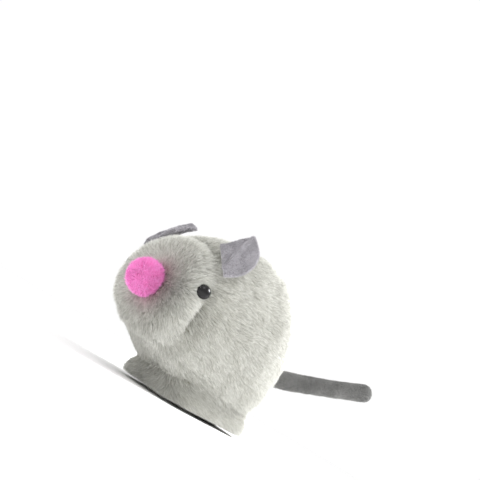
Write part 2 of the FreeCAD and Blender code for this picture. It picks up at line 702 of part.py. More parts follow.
def motor_plate(label, side):
    """A pressed side plate with a foot bent outward in front and one bent inward behind."""
    body = body_named(label)
    outline = sketch_on(body, "YZ_Plane", label + "_outline")
    polygon(outline, (("axle_y - motor_front", "%s + motor_chin" % AXLE_Z),
                      ("axle_y - motor_foot", "plate_thickness"),
                      ("axle_y + motor_rear", "plate_thickness"),
                      ("axle_y + motor_rear", "%s + motor_shoulder" % AXLE_Z),
                      ("axle_y + motor_peak", "%s + motor_top" % AXLE_Z),
                      ("axle_y - motor_front", "%s + motor_top" % AXLE_Z)))
    base = pad(body, outline, "motor_wall")
    base.Reversed = side < 0
    doc.recompute()
    body.setExpression("Placement.Base.x", bound("%d * motor_gap / 2" % side))
    holes = sketch_on(body, "YZ_Plane", label + "_holes")
    circle(holes, "arbor_radius + running_gap", ARBOR_Y, ARBOR_Z)
    circle(holes, "shaft_radius + running_gap", SECOND_Y, SECOND_Z)
    circle(holes, "shaft_radius + running_gap", THIRD_Y, THIRD_Z)
    circle(holes, "bush_radius", "axle_y", AXLE_Z)
    for y, z in PILLARS:
        circle(holes, "pillar_neck", y, z)
    pocket_through(body, holes)
    feet = (("front_foot", "axle_y - motor_foot", "foot_length", "foot_reach", 1),
            ("rear_foot", "axle_y + motor_rear - rear_foot_length", "rear_foot_length",
             "rear_foot_reach", -1))
    for name, low_y, length, reach, outward in feet:
        foot = body.newObject("PartDesign::AdditiveBox", label + "_" + name)
        way = side * outward
        foot.setExpression("Length", bound(reach))
        foot.setExpression("Width", bound(length))
        foot.setExpression("Height", bound("motor_wall"))
        start = 0.0 if way > 0 else -worked_out(reach)
        foot.AttachmentOffset = Placement(Vector(start, worked_out(low_y),
                                                 size("plate_thickness")), Rotation())
        plane = [item for item in body.Origin.OriginFeatures if item.Role == "XY_Plane"][0]
        foot.AttachmentSupport = [(plane, "")]
        foot.MapMode = "FlatFace"
        foot.setExpression("AttachmentOffset.Base.z", bound("plate_thickness"))
        doc.recompute()
    taps = sketch_on(body, "XY_Plane", label + "_taps")
    for x, y in MOTOR_SCREWS:
        if worked_out(x) * side > 0:
            circle(taps, "screw_radius", "%s - %d * motor_gap / 2" % (x, side), y)
    tapped = body.newObject("PartDesign::Pocket", label + "_tapped")
    tapped.Profile = taps
    tapped.setExpression("Length", bound("2 * (plate_thickness + motor_wall + 0.5)"))
    tapped.Midplane = True
    doc.recompute()
    return body


motor_plate("left_motor_plate", 1)
motor_plate("right_motor_plate", -1)


def pillar(name, y, z):
    """A spacer with a neck through each plate and a riveted head outside."""
    spacer = rod(name + "_spacer", "pillar_radius", "motor_gap", "-%s" % INNER, y, z)
    neck = rod(name + "_neck", "pillar_neck", "motor_gap + 2 * motor_wall", "-%s" % OUTER, y, z)
    left = rod(name + "_left_head", "rivet_radius", "rivet_height", OUTER, y, z)
    right = rod(name + "_right_head", "rivet_radius", "rivet_height",
                "-%s - rivet_height" % OUTER, y, z)
    return joined(name, spacer, neck, left, right)


kept(grouped("motor_pillars", [pillar("pillar_%d" % index, y, z)
                               for index, (y, z) in enumerate(PILLARS)]), "motor_pillars")


# ---------------------------------------------------------------- gears, shafts and spring

def gear_face(teeth):
    """The outline of an involute gear as a face, a tooth centred on its own X."""
    writer = fcgear.FCWireBuilder()
    involute.CreateExternalGear(writer, size("gear_module"), int(teeth), 25, split=True,
                                addCoeff=0.8, dedCoeff=1.05, filletCoeff=0.3, shiftCoeff=0)
    return Part.Face(Part.Wire([edge.toShape() for edge in writer.wire]))


def gear(label, teeth, phase, bore, width, start, windows=0):
    """A toothed wheel on an axis along X. start is its low face's centre."""
    shape = gear_face(teeth).extrude(Vector(0, 0, width))
    shape = shape.cut(Part.makeCylinder(bore, width + 2, Vector(0, 0, -1)))
    pitch = size("gear_module") * teeth / 2
    for index in range(windows):
        angle = 2 * math.pi * (index + 0.5) / windows
        middle = (pitch + bore) / 2
        hole = Part.makeCylinder(0.28 * (pitch - bore), width + 2,
                                 Vector(middle * math.cos(angle), middle * math.sin(angle), -1))
        shape = shape.cut(hole)
    piece = solid_feature(label, shape)
    piece.Placement = Placement(start, ACROSS * Rotation(Vector(0, 0, 1), math.degrees(phase)))
    return piece


def meshing_phase(driver_phase, driver_teeth, direction, teeth):
    """The phase that puts a gap of the driven gear against a tooth of its driver."""
    share = (direction - driver_phase) * driver_teeth / (2 * math.pi)
    return direction + math.pi - (0.5 - share) * 2 * math.pi / teeth


def spot(x, y, z):
    return Vector(worked_out(x), worked_out(y), worked_out(z))


def away(angle_name):
    """The direction from a gear back to the pinion that it drives."""
    return math.radians(size(angle_name)) + math.pi


pinion = int(size("pinion_teeth"))
width = size("gear_width")
long_width = size("pinion_length")
shaft = size("shaft_radius")
inset = (long_width - width) / 2
main_phase = 0.0
second_phase = meshing_phase(main_phase, size("main_teeth"), away("first_angle"), pinion)
third_phase = meshing_phase(second_phase, size("second_teeth"), away("second_angle"), pinion)
drive_phase = meshing_phase(third_phase, size("third_teeth"), away("third_angle"), pinion)

gear("main_gear", size("main_teeth"), main_phase, size("arbor_radius") + size("running_gap"),
     width, spot("%s + %f" % (MAIN_X, inset), ARBOR_Y, ARBOR_Z), windows=5)
gear("second_pinion", pinion, second_phase, shaft, long_width, spot(MAIN_X, SECOND_Y, SECOND_Z))
gear("second_gear", size("second_teeth"), second_phase, shaft, width,
     spot("%s + %f" % (SECOND_X, inset), SECOND_Y, SECOND_Z), windows=5)
gear("third_pinion", pinion, third_phase, shaft, long_width, spot(SECOND_X, THIRD_Y, THIRD_Z))
gear("third_gear", size("third_teeth"), third_phase, shaft, width,
     spot("%s + %f" % (THIRD_X, inset), THIRD_Y, THIRD_Z), windows=4)
gear("drive_pinion", pinion, drive_phase, size("axle_radius"), long_width,
     spot(THIRD_X, "axle_y", AXLE_Z))

for label, y, z in (("second_shaft", SECOND_Y, SECOND_Z), ("third_shaft", THIRD_Y, THIRD_Z)):
    kept(rod(label, "shaft_radius", "2 * %s + 0.4" % OUTER, "-%s - 0.2" % OUTER, y, z), label)


def ratchet_wheel():
    """A small saw-toothed wheel fixed on the arbor."""
    count = int(size("ratchet_teeth"))
    outer = size("ratchet_radius")
    root = outer - 0.7
    points = []
    for index in range(count):
        angle = 2 * math.pi * index / count
        points.append(Vector(root * math.cos(angle), root * math.sin(angle), 0))
        points.append(Vector(outer * math.cos(angle), outer * math.sin(angle), 0))
    face = Part.Face(Part.makePolygon(points + points[:1]))
    shape = face.extrude(Vector(0, 0, size("ratchet_width")))
    shape = shape.cut(Part.makeCylinder(size("arbor_radius"), 4, Vector(0, 0, -1)))
    piece = solid_feature("ratchet_wheel", shape)
    piece.Placement = Placement(spot(RATCHET_X, ARBOR_Y, ARBOR_Z), ACROSS)


ratchet_wheel()


def click_pawl():
    """The pawl that a small rivet holds on the main gear; its nose rests on a ratchet tooth."""
    reach = size("ratchet_radius")
    thick = size("ratchet_width")
    arm = Part.makeBox(5.6, 1.0, thick, Vector(-4.8, reach + 0.05, 0))
    nose = Part.makeBox(0.75, 0.5, thick, Vector(0.05, reach - 0.2, 0))
    knob = Part.makeCylinder(1.0, thick, Vector(-4.6, reach + 0.6, 0))
    rivet = Part.makeCylinder(0.6, thick + 0.2, Vector(-4.6, reach + 0.6, -0.2))
    piece = solid_feature("click_pawl", arm.fuse(nose).fuse(knob).fuse(rivet))
    piece.Placement = Placement(spot(RATCHET_X, ARBOR_Y, ARBOR_Z),
                                ACROSS * Rotation(Vector(0, 0, 1), 120))


click_pawl()


def mainspring():
    """A strip coiled in half turns, hooked on the arbor inside and on a pillar outside."""
    strip = size("spring_strip")
    inner = size("arbor_radius") + strip / 2 + 0.05
    outer = size("spring_radius") - strip / 2
    halves = int(2 * size("spring_turns"))
    step = (outer - inner) / (halves - 1)
    outside = []
    inside_edges = []
    centre = 0.0
    radius = inner
    for index in range(halves):
        way = 1 if index % 2 == 0 else -1
        for edges, offset in ((outside, strip / 2), (inside_edges, -strip / 2)):
            r = radius + offset
            start = Vector(centre + way * r, 0, 0)
            top = Vector(centre, way * r, 0)
            end = Vector(centre - way * r, 0, 0)
            edges.append(Part.Arc(start, top, end).toShape())
        centre += way * step
        radius += step
    first_out = outside[0].Vertexes[0].Point
    first_in = inside_edges[0].Vertexes[0].Point
    last_out = outside[-1].Vertexes[-1].Point
    last_in = inside_edges[-1].Vertexes[-1].Point
    ends = [Part.makeLine(first_out, first_in), Part.makeLine(last_out, last_in)]
    edges = Part.sortEdges(outside + inside_edges + ends)[0]
    face = Part.Face(Part.Wire(edges))
    piece = solid_feature("mainspring", face.extrude(Vector(0, 0, size("spring_width"))))
    piece.Placement = Placement(spot(SPRING_X, ARBOR_Y, ARBOR_Z), ACROSS)


mainspring()

# ---------------------------------------------------------------- driving axle, wheels and bushes

AXLE_LENGTH = "2 * (%s + wheel_width)" % WHEEL_X
kept(rod("drive_axle", "axle_radius", AXLE_LENGTH, "-(%s + wheel_width)" % WHEEL_X, "axle_y",
         AXLE_Z), "drive_axle")


def wheel(label, low_x):
    """A dished plastic hub."""
    body = body_named(label)
    dish = "wheel_width * 0.25"
    turned(body, (("axle_radius", "0"), ("axle_radius + 1.3", "0"), ("axle_radius + 1.3", dish),
                  ("hub_radius - 1.1", dish), ("hub_radius - 1.1", "0"), ("hub_radius", "0"),
                  ("hub_radius", "wheel_width"), ("hub_radius - 1.1", "wheel_width"),
                  ("hub_radius - 1.1", "wheel_width - (%s)" % dish),
                  ("axle_radius + 1.3", "wheel_width - (%s)" % dish),
                  ("axle_radius + 1.3", "wheel_width"), ("axle_radius", "wheel_width")))
    return place(body, low_x, "axle_y", AXLE_Z, ACROSS)


def tyre(label, low_x):
    """A rubber ring with rounded shoulders."""
    body = body_named(label)
    shoulder = "0.6"
    turned(body, (("hub_radius", "0"), ("wheel_radius - %s" % shoulder, "0"),
                  ("wheel_radius", shoulder), ("wheel_radius", "wheel_width - %s" % shoulder),
                  ("wheel_radius - %s" % shoulder, "wheel_width"), ("hub_radius", "wheel_width")))
    return place(body, low_x, "axle_y", AXLE_Z, ACROSS)


RIGHT_WHEEL_X = "-(%s + wheel_width)" % WHEEL_X
wheel("left_wheel", WHEEL_X)
wheel("right_wheel", RIGHT_WHEEL_X)
tyre("left_tyre", WHEEL_X)
tyre("right_tyre", RIGHT_WHEEL_X)


def axle_bush(name, side):
    inner_x = INNER if side > 0 else "-%s" % OUTER
    flange_x = OUTER if side > 0 else "-%s - bush_flange_wall" % OUTER
    sleeve = rod(name + "_sleeve", "bush_radius", "motor_wall", inner_x, "axle_y", AXLE_Z)
    flange = rod(name + "_flange", "bush_flange", "bush_flange_wall", flange_x, "axle_y", AXLE_Z)
    bore = rod(name + "_bore", "axle_radius + running_gap", "4", "%s - 2" % inner_x, "axle_y",
               AXLE_Z)
    return cut(name, joined(name + "_blank", sleeve, flange), bore)


kept(grouped("axle_bushes", [axle_bush("left_bush", 1), axle_bush("right_bush", -1)]),
     "axle_bushes")

# ---------------------------------------------------------------- winding arbor, key and bushing

KEY_IN = "(%s + key_gap)" % BUSHING_OUT
ARBOR_END = "(%s + key_hub_length * 0.6)" % KEY_IN
kept(rod("winding_arbor", "arbor_radius", "%s + %s + 0.3" % (ARBOR_END, OUTER),
         "-%s" % ARBOR_END, ARBOR_Y, ARBOR_Z), "winding_arbor")

bushing_tube = rod("bushing_tube", "bushing_radius", "6.5", "-%s" % BUSHING_OUT, ARBOR_Y, ARBOR_Z)
bushing_disc = rod("bushing_disc", "bushing_flange", "bushing_wall",
                   "-%s" % BUSHING_OUT, ARBOR_Y, ARBOR_Z)
bushing_bore = rod("bushing_bore", "arbor_radius + running_gap", "10", "-%s - 1" % BUSHING_OUT,
                   ARBOR_Y, ARBOR_Z)
kept(cut("key_bushing", joined("bushing_blank", bushing_tube, bushing_disc), bushing_bore),
     "key_bushing")


def winding_key():
    """A butterfly key: a hub on the arbor and two looped wings."""
    hub = rod("key_hub", "key_hub_radius", "key_hub_length", "-%s - key_hub_length" % KEY_IN,
              ARBOR_Y, ARBOR_Z)
    wing_x = "-%s - key_hub_length" % KEY_IN
    flat = Rotation(Vector(1, 0, 0), 90)
    wings = []
    holes = []
    for side in (-1, 1):
        wing_z = "%s + %d * key_wing_spread" % (ARBOR_Z, side)
        wings.append(rod("wing_%d" % len(wings), "key_wing_radius", "key_wing_wall", wing_x,
                         "%s + key_wing_wall / 2" % ARBOR_Y, wing_z, flat))
        holes.append(rod("wing_hole_%d" % len(holes), "key_hole_radius", "key_wing_wall + 2",
                         wing_x, "%s + key_wing_wall / 2 + 1" % ARBOR_Y, wing_z, flat))
    web = block("key_web", "key_wing_radius", "key_wing_wall", "2 * key_wing_spread",
                "%s - key_wing_radius / 2" % wing_x, "%s - key_wing_wall / 2" % ARBOR_Y,
                "%s - key_wing_spread" % ARBOR_Z)
    blank = joined("key_blank", hub, *wings, web)
    bore = rod("key_bore", "arbor_radius", "key_hub_length", "-%s" % ARBOR_END, ARBOR_Y, ARBOR_Z)
    return kept(cut("winding_key", blank, bore, *holes), "winding_key")


winding_key()

# ---------------------------------------------------------------- check and write

doc.recompute()
for item in doc.Objects:
    if "Invalid" in item.State or "Error" in item.State:
        raise ValueError("%s did not build: %s" % (item.Label, item.State))
for piece in nodes:
    if piece.Shape.isNull() or not piece.Shape.isValid():
        raise ValueError(piece.Label + " has no valid shape")
os.makedirs("parts", exist_ok=True)
for piece in nodes:
    piece.Shape.exportStep("parts/%s.step" % piece.Label)
    print("%-18s %2d solids %10.2f mm3" % (piece.Label, len(piece.Shape.Solids),
                                           piece.Shape.Volume))
print(len(nodes), "nodes")
for label, y, z in (("arbor", ARBOR_Y, ARBOR_Z), ("second shaft", SECOND_Y, SECOND_Z),
                    ("third shaft", THIRD_Y, THIRD_Z), ("drive axle", "axle_y", AXLE_Z)):
    print("%-12s y %.4f z %.4f" % (label, worked_out(y), worked_out(z)))
print("tail root", tail_root)
print("ear root", EAR_ROOT + EAR_OUT * size("ear_base_gap"))
print("eye", EYE)
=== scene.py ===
# %% [markdown]
# # A plush clockwork mouse
# The frame is the mouse's engineering model: its plate, motor, wheels and key, and plain solids where
# the plush goes. This lesson dresses that frame. Every length is in metres, the nose points to -Y, the
# mouse's left side to +X, and the underside of the belly plate is at z = 0.

# %% Load the frame
import json
import math

import bmesh
import bpy
import numpy as np
from mathutils import Matrix, Vector, noise
from mathutils.bvhtree import BVHTree

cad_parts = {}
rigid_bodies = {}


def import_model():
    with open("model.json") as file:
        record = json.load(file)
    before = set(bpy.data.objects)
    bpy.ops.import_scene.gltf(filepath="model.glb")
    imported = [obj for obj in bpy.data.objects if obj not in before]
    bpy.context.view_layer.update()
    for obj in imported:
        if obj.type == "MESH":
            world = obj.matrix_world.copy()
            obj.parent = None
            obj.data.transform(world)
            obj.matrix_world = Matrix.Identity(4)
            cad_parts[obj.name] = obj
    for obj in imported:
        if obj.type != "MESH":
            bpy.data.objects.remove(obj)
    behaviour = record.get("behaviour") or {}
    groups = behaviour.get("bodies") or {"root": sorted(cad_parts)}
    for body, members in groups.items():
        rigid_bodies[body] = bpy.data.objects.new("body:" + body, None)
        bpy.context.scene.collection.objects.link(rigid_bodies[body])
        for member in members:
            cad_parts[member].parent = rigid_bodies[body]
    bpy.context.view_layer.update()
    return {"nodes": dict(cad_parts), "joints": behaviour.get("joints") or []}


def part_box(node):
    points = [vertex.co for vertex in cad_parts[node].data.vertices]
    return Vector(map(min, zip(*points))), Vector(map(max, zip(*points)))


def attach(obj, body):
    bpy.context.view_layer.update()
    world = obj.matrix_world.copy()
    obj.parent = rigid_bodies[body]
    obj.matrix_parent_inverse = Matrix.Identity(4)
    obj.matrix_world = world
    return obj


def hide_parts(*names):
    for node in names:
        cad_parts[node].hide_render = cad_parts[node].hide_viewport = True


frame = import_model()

MM = 0.001
nodes = frame["nodes"]

# %% [markdown]
# ## Measures taken from the frame
# The skin's three panels give the body's size, and the nose, eyes and ears stand where their own
# solids stand. Reading them here means that the plush follows the frame when a size changes.

# %% Body measures
skin_names = ("left_side_panel", "right_side_panel", "belly_panel")
skin_low = Vector([min(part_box(name)[0][axis] for name in skin_names) for axis in range(3)])
skin_high = Vector([max(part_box(name)[1][axis] for name in skin_names) for axis in range(3)])
body_centre = Vector((0, (skin_low.y + skin_high.y) / 2, (skin_low.z + skin_high.z) / 2))
nose_low, nose_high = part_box("nose_pompom")
nose_radius = (nose_high.z - nose_low.z) / 2
nose_spot = Vector((0, skin_low.y, (nose_low.z + nose_high.z) / 2))
plate_low, plate_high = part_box("base_plate")
floor_z = min(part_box("left_tyre")[0].z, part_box("front_roller")[0].z)
print("body", (skin_high - skin_low) / MM, "nose", nose_spot / MM, "floor", floor_z / MM)


def joint_spot(name):
    """Where a joint's axis is, and which way it points."""
    found = [joint for joint in frame["joints"] if joint["name"] == name][0]
    return Vector(found["pos_m"]), Vector(found["axis"]).normalized()


# %% [markdown]
# ## Shader maths as plain expressions
# A material is a small sum: this much noise, that much stripe. Writing it as nodes one at a time hides
# the sum, so one class wraps a socket and turns +, - and * into Math nodes.

# %% A socket that can be added and multiplied
class Value:
    """A number socket in a material, with arithmetic."""

    def __init__(self, paint, socket):
        self.paint = paint
        self.socket = socket

    def _math(self, operation, first, second):
        node = self.paint.node("ShaderNodeMath", {"operation": operation}, {0: first, 1: second})
        return Value(self.paint, node.outputs[0])

    def __add__(self, other):
        return self._math("ADD", self, other)

    def __radd__(self, other):
        return self._math("ADD", other, self)

    def __sub__(self, other):
        return self._math("SUBTRACT", self, other)

    def __rsub__(self, other):
        return self._math("SUBTRACT", other, self)

    def __mul__(self, other):
        return self._math("MULTIPLY", self, other)

    def __rmul__(self, other):
        return self._math("MULTIPLY", other, self)


class Paint:
    """One material: its nodes are added by type, with settings first and sockets after."""

    def __init__(self, name, roughness=0.5, metallic=0.0, **uniform):
        self.material = bpy.data.materials.new(name)
        self.material.use_nodes = True
        self.tree = self.material.node_tree
        self.shader = self.tree.nodes["Principled BSDF"]
        self.shader.inputs["Roughness"].default_value = roughness
        self.shader.inputs["Metallic"].default_value = metallic
        for socket, value in uniform.items():
            self.shader.inputs[socket.replace("_", " ")].default_value = value

    def feed(self, socket, value):
        """Links a value or a socket, or types a plain number or colour in."""
        if isinstance(value, Value):
            value = value.socket
        if isinstance(value, bpy.types.NodeSocket):
            self.tree.links.new(value, socket)
        else:
            socket.default_value = value

    def node(self, kind, settings=None, sockets=None):
        """Adds a node by its type, sets it up and then feeds its sockets."""
        made = self.tree.nodes.new(kind)
        for key, value in (settings or {}).items():
            setattr(made, key, value)
        for key, value in (sockets or {}).items():
            self.feed(made.inputs[key], value)
        return made

    def where(self, scale=(1, 1, 1)):
        """The piece's own coordinates, stretched."""
        spot = self.node("ShaderNodeTexCoord").outputs["Object"]
        return self.node("ShaderNodeMapping", {}, {"Vector": spot, "Scale": scale}).outputs[0]

    def speckle(self, size, detail=3.0, vector=None):
        """Cloudy noise whose lumps are about size metres across."""
        made = self.node("ShaderNodeTexNoise", {}, {
            "Vector": self.where() if vector is None else vector, "Scale": 1 / size,
            "Detail": detail})
        return Value(self, made.outputs["Fac"])

    def attribute(self, name):
        return Value(self, self.node("ShaderNodeAttribute", {"attribute_name": name}).outputs["Fac"])

    def clamp(self, value, low, high):
        """Stretches low..high to 0..1 and cuts off the rest."""
        made = self.node("ShaderNodeMapRange", {"clamp": True}, {
            "Value": value, "From Min": low, "From Max": high})
        return Value(self, made.outputs[0])

    def blend(self, share, first, second):
        """A colour between two, by share."""
        made = self.node("ShaderNodeMix", {"data_type": "RGBA"}, {
            "Factor": share, 6: rgba(first), 7: rgba(second)})
        return made.outputs[2]

    def colour(self, value):
        self.feed(self.shader.inputs["Base Color"], rgba(value))

    def bump(self, height, depth):
        """Lets the light see a height, depth metres from lowest to highest."""
        made = self.node("ShaderNodeBump", {}, {"Height": height, "Distance": depth})
        self.feed(self.shader.inputs["Normal"], made.outputs[0])

    def rough(self, value):
        self.feed(self.shader.inputs["Roughness"], value)


def rgba(value):
    """A plain colour gets its fourth number; a socket stays as it is."""
    return (*value, 1) if isinstance(value, tuple) and len(value) == 3 else value


def new_piece(name, mesh_maker, paint):
    """Fills a bmesh with mesh_maker, makes it an object at the origin and gives it its material."""
    bm = bmesh.new()
    mesh_maker(bm)
    mesh = bpy.data.meshes.new(name)
    bm.to_mesh(mesh)
    bm.free()
    mesh.polygons.foreach_set("use_smooth", [True] * len(mesh.polygons))
    piece = bpy.data.objects.new(name, mesh)
    bpy.context.scene.collection.objects.link(piece)
    piece.data.materials.append(paint.material)
    return piece


def finished(piece):
    """Applies a piece's modifiers, so that its mesh is what rides."""
    graph = bpy.context.evaluated_depsgraph_get()
    mesh = bpy.data.meshes.new_from_object(piece.evaluated_get(graph))
    piece.modifiers.clear()
    piece.data = mesh
    return piece


print("helpers ready")

# %% [markdown]
# ## Camera, floor and light
# The mouse is looked at from its front left and a little from below, with the camera rolled so that
# the nose climbs to the left. The floor is a pale sheet and the air all round is white, as in a light
# tent, with a big soft window above and behind and a weaker fill from the front.

# %% Camera
AZIMUTH = math.radians(44.2)
ELEVATION = math.radians(-5.0)
ROLL = math.radians(-30.3)
DISTANCE = 0.218
AIM = Vector((0, 0, 0.028))
LENS = 43.2
OFF_AXIS = (0.0475, 0.1545)     # how far the aim point sits from the middle, as tangents

back = Vector((math.sin(AZIMUTH) * math.cos(ELEVATION), -math.cos(AZIMUTH) * math.cos(ELEVATION),
               math.sin(ELEVATION)))
level = Vector((0, 0, 1)).cross(back).normalized()
upward = back.cross(level)
right = math.cos(ROLL) * level - math.sin(ROLL) * upward
above = math.sin(ROLL) * level + math.cos(ROLL) * upward
forward = (-back + right * OFF_AXIS[0] + above * OFF_AXIS[1]).normalized()
side = forward.cross(above).normalized()
tilted = side.cross(forward)
camera = bpy.data.objects.new("camera", bpy.data.cameras.new("camera"))
camera.data.lens = LENS
camera.data.clip_start = 0.01
basis = Matrix((side, tilted, -forward)).transposed().to_4x4()
camera.matrix_world = Matrix.Translation(AIM + back * DISTANCE) @ basis
bpy.context.scene.collection.objects.link(camera)
bpy.context.scene.camera = camera
bpy.context.scene.view_settings.view_transform = "Standard"
print("camera height", round(camera.matrix_world.translation.z / MM, 1), "mm")

# %% Floor, sky and lamps
floor_paint = Paint("floor_sheet", roughness=0.9)
floor_paint.colour(floor_paint.blend(floor_paint.speckle(50 * MM), (0.97, 0.97, 0.97),
                                     (0.985, 0.985, 0.985)))


def floor_mesh(bm):
    bmesh.ops.create_grid(bm, x_segments=2, y_segments=2, size=6.0,
                          matrix=Matrix.Translation((0, 0, floor_z)))


floor = new_piece("floor", floor_mesh, floor_paint)

world = bpy.data.worlds.new("studio")
bpy.context.scene.world = world
world.use_nodes = True
world.node_tree.nodes["Background"].inputs["Color"].default_value = (1, 1, 1, 1)
world.node_tree.nodes["Background"].inputs["Strength"].default_value = 1.02


LAMP_AIM = Vector((0, 0, 0.03))


def lamp(name, place, width, power):
    """A round soft lamp, width metres across, turned to the mouse."""
    light = bpy.data.lights.new(name, "AREA")
    light.shape = "DISK"
    light.size = width
    light.energy = power
    made = bpy.data.objects.new(name, light)
    turn = (LAMP_AIM - Vector(place)).to_track_quat("-Z", "Y").to_matrix().to_4x4()
    made.matrix_world = Matrix.Translation(place) @ turn
    bpy.context.scene.collection.objects.link(made)


lamp("window", (0.20, 0.32, 0.42), 0.28, 4.6)
lamp("fill", (0.10, -0.30, 0.45), 0.30, 0.6)
print("lit")

# %% [markdown]
# ## The plush body
# The real skin is three pieces of fur cloth sewn over the shell. One sphere is pressed onto the frame's
# skin from all sides, like cling film, and smoothed, so that the facets and the eye holes of the
# frame's skin don't print through. It is drawn in by the height of the pile, because the pile adds
# that height again. The face is then shaped by small pushes along the surface's own direction: a
# ridge round the snout, a hollow between it and the nose, and the dart below the eye. Low down, where
# the shell's straight foot stands out of the round form, the cloth is kept just off the foot.

# %% Press a sphere onto the skin
def joined_surface(names):
    """One tree of all the triangles of some CAD nodes, for casting rays."""
    points, triangles = [], []
    for name in names:
        mesh = nodes[name].data
        first = len(points)
        points.extend(vertex.co.copy() for vertex in mesh.vertices)
        mesh.calc_loop_triangles()
        triangles.extend([first + v for v in triangle.vertices] for triangle in mesh.loop_triangles)
    return BVHTree.FromPolygons(points, triangles)


skin_tree = joined_surface(skin_names + ("left_body_shell", "right_body_shell", "base_plate"))
REACH = 0.2              # how far out the rays start
LEAST_FACING = 0.15      # a hit on a face more slanting than this is left out
LEAST_DEPTH = 0.012      # a hit nearer the centre than this came through a gap
PILE = 1.9 * MM          # how far the fur stands proud of the cloth under it


def press(bm, tree, centre):
    """Moves each vertex along its own ray until it meets the tree from outside."""
    missed = []
    for vertex in bm.verts:
        way = vertex.co.normalized()
        hit, normal, face, distance = tree.ray_cast(centre + way * REACH, -way)
        if hit is None or normal.dot(way) < LEAST_FACING or (hit - centre).dot(way) < LEAST_DEPTH:
            missed.append(vertex)
        else:
            vertex.co = hit
    lost = set(missed)
    while lost:
        found = []
        for vertex in lost:
            near = [edge.other_vert(vertex) for edge in vertex.link_edges]
            near = [other for other in near if other not in lost]
            if len(near) > 1:
                vertex.co = sum((other.co for other in near), Vector()) / len(near)
                found.append(vertex)
        if not found:
            raise ValueError("the skin has a hole that can't be filled")
        lost -= set(found)
    return len(missed)


eye_low, eye_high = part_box("left_eye")
EYE_BEAD = 2.5 * MM
eye_spot = Vector((eye_high.x - EYE_BEAD, eye_low.y + EYE_BEAD, (eye_low.z + eye_high.z) / 2))
print("eye", eye_spot / MM)

# %% Shape the face


def hump(distance, middle, width):
    """1 at the middle and nearly 0 two widths away."""
    return math.exp(-((distance - middle) / width) ** 2)


def rise(value, low, high):
    """0 below low, 1 above high, and a smooth step between."""
    share = min(1.0, max(0.0, (value - low) / (high - low)))
    return share * share * (3 - 2 * share)


RIDGE = 18.5 * MM        # how far from the nose the ridge of longer fur runs
VALLEY = 23.0 * MM       # and the valley behind it
VALLEY_WIDTH = 2.4 * MM
DART = 22.6 * MM         # and the sewn dart below the eye


def near_eye(spot):
    """How far a point is from the eye on its own side."""
    return math.dist((abs(spot.x), spot.y, spot.z), (eye_spot.x, eye_spot.y, eye_spot.z))


def face_push(spot):
    """How far the surface stands out, in metres, for the shapes of the face."""
    far = (spot - nose_spot).length
    height = spot.z / MM
    push = 0.9 * MM * hump(far, RIDGE, 3.0 * MM) * rise(height, 8, 18)
    push -= 1.3 * MM * hump(far, 10 * MM, 4.5 * MM)
    valley = hump(far, VALLEY, VALLEY_WIDTH) * rise(height, 12, 22) * rise(62 - height, 0, 14)
    push -= 0.5 * MM * valley
    dart = hump(far, DART, 1.7 * MM) * rise(abs(spot.x) / MM, 8, 16)
    push -= 1.5 * MM * dart * hump(height, 25, 7)
    push -= 0.2 * MM * hump(near_eye(spot), 0, 3.6 * MM)
    return push


STRIP_HALF = 19 * MM     # half of the belly strip's width at its middle


def seam_distance(spot):
    """How far a point is from the seam between the belly strip and the side, in metres."""
    half = (skin_high.y - skin_low.y) / 2 + 1 * MM
    radius = (half * half + STRIP_HALF * STRIP_HALF) / (2 * STRIP_HALF)
    return math.hypot(abs(spot.x) - (STRIP_HALF - radius), spot.y - body_centre.y) - radius


CLOTH_CLEAR = 1.0 * MM   # how far the cloth stands off the shell's straight foot
FOOT_TOP = 9 * MM        # as high as the foot can stand out of the body's round form
PLATE_CORNER = 7 * MM    # the radius of the plate's corners


def plate_way_out(spot):
    """How far a point is outside the plate's rounded outline, seen from below, and the way out."""
    from_middle = spot.y - (plate_high.y + plate_low.y) / 2
    side = math.copysign(1, spot.x)
    end = math.copysign(1, from_middle)
    dx = abs(spot.x) - (plate_high.x - PLATE_CORNER)
    dy = abs(from_middle) - ((plate_high.y - plate_low.y) / 2 - PLATE_CORNER)
    if dx > 0 and dy > 0:
        return math.hypot(dx, dy) - PLATE_CORNER, Vector((dx * side, dy * end, 0)).normalized()
    if dx > dy:
        return dx - PLATE_CORNER, Vector((side, 0, 0))
    return dy - PLATE_CORNER, Vector((0, end, 0))


def swell(bm):
    """Pushes the cloth out and in along its normals: the face, soft lumps, the seam, the pile."""
    moves = []
    for vertex in bm.verts:
        spot = vertex.co
        lumps = noise.noise(spot / (12 * MM)) * 0.7 + noise.noise(spot / (5 * MM)) * 0.15
        seam = hump(seam_distance(spot), 0, 1.1 * MM) * rise(26 - spot.z / MM, 0, 5)
        push = face_push(spot) + (lumps - seam * 1.2) * MM - PILE * rise(spot.z / MM, 1, 5)
        moves.append(vertex.normal * push)
    for vertex, move in zip(bm.verts, moves):
        vertex.co += move


def skirt_the_foot(bm):
    """Opens the cloth under the plate, and drapes it over the shell's foot."""
    under = [face for face in bm.faces
             if face.calc_center_median().z < 0.8 * MM
             and plate_way_out(face.calc_center_median())[0] < CLOTH_CLEAR]
    bmesh.ops.delete(bm, geom=under, context="FACES")
    low = [vertex for vertex in bm.verts if 2 * MM < vertex.co.z < 20 * MM]
    for _ in range(40):
        bmesh.ops.smooth_vert(bm, verts=low, factor=0.5, use_axis_x=True, use_axis_y=True,
                              use_axis_z=False)
        for vertex in bm.verts:
            far, way = plate_way_out(vertex.co)
            if vertex.co.z < FOOT_TOP and far < CLOTH_CLEAR:
                vertex.co += way * (CLOTH_CLEAR - far)


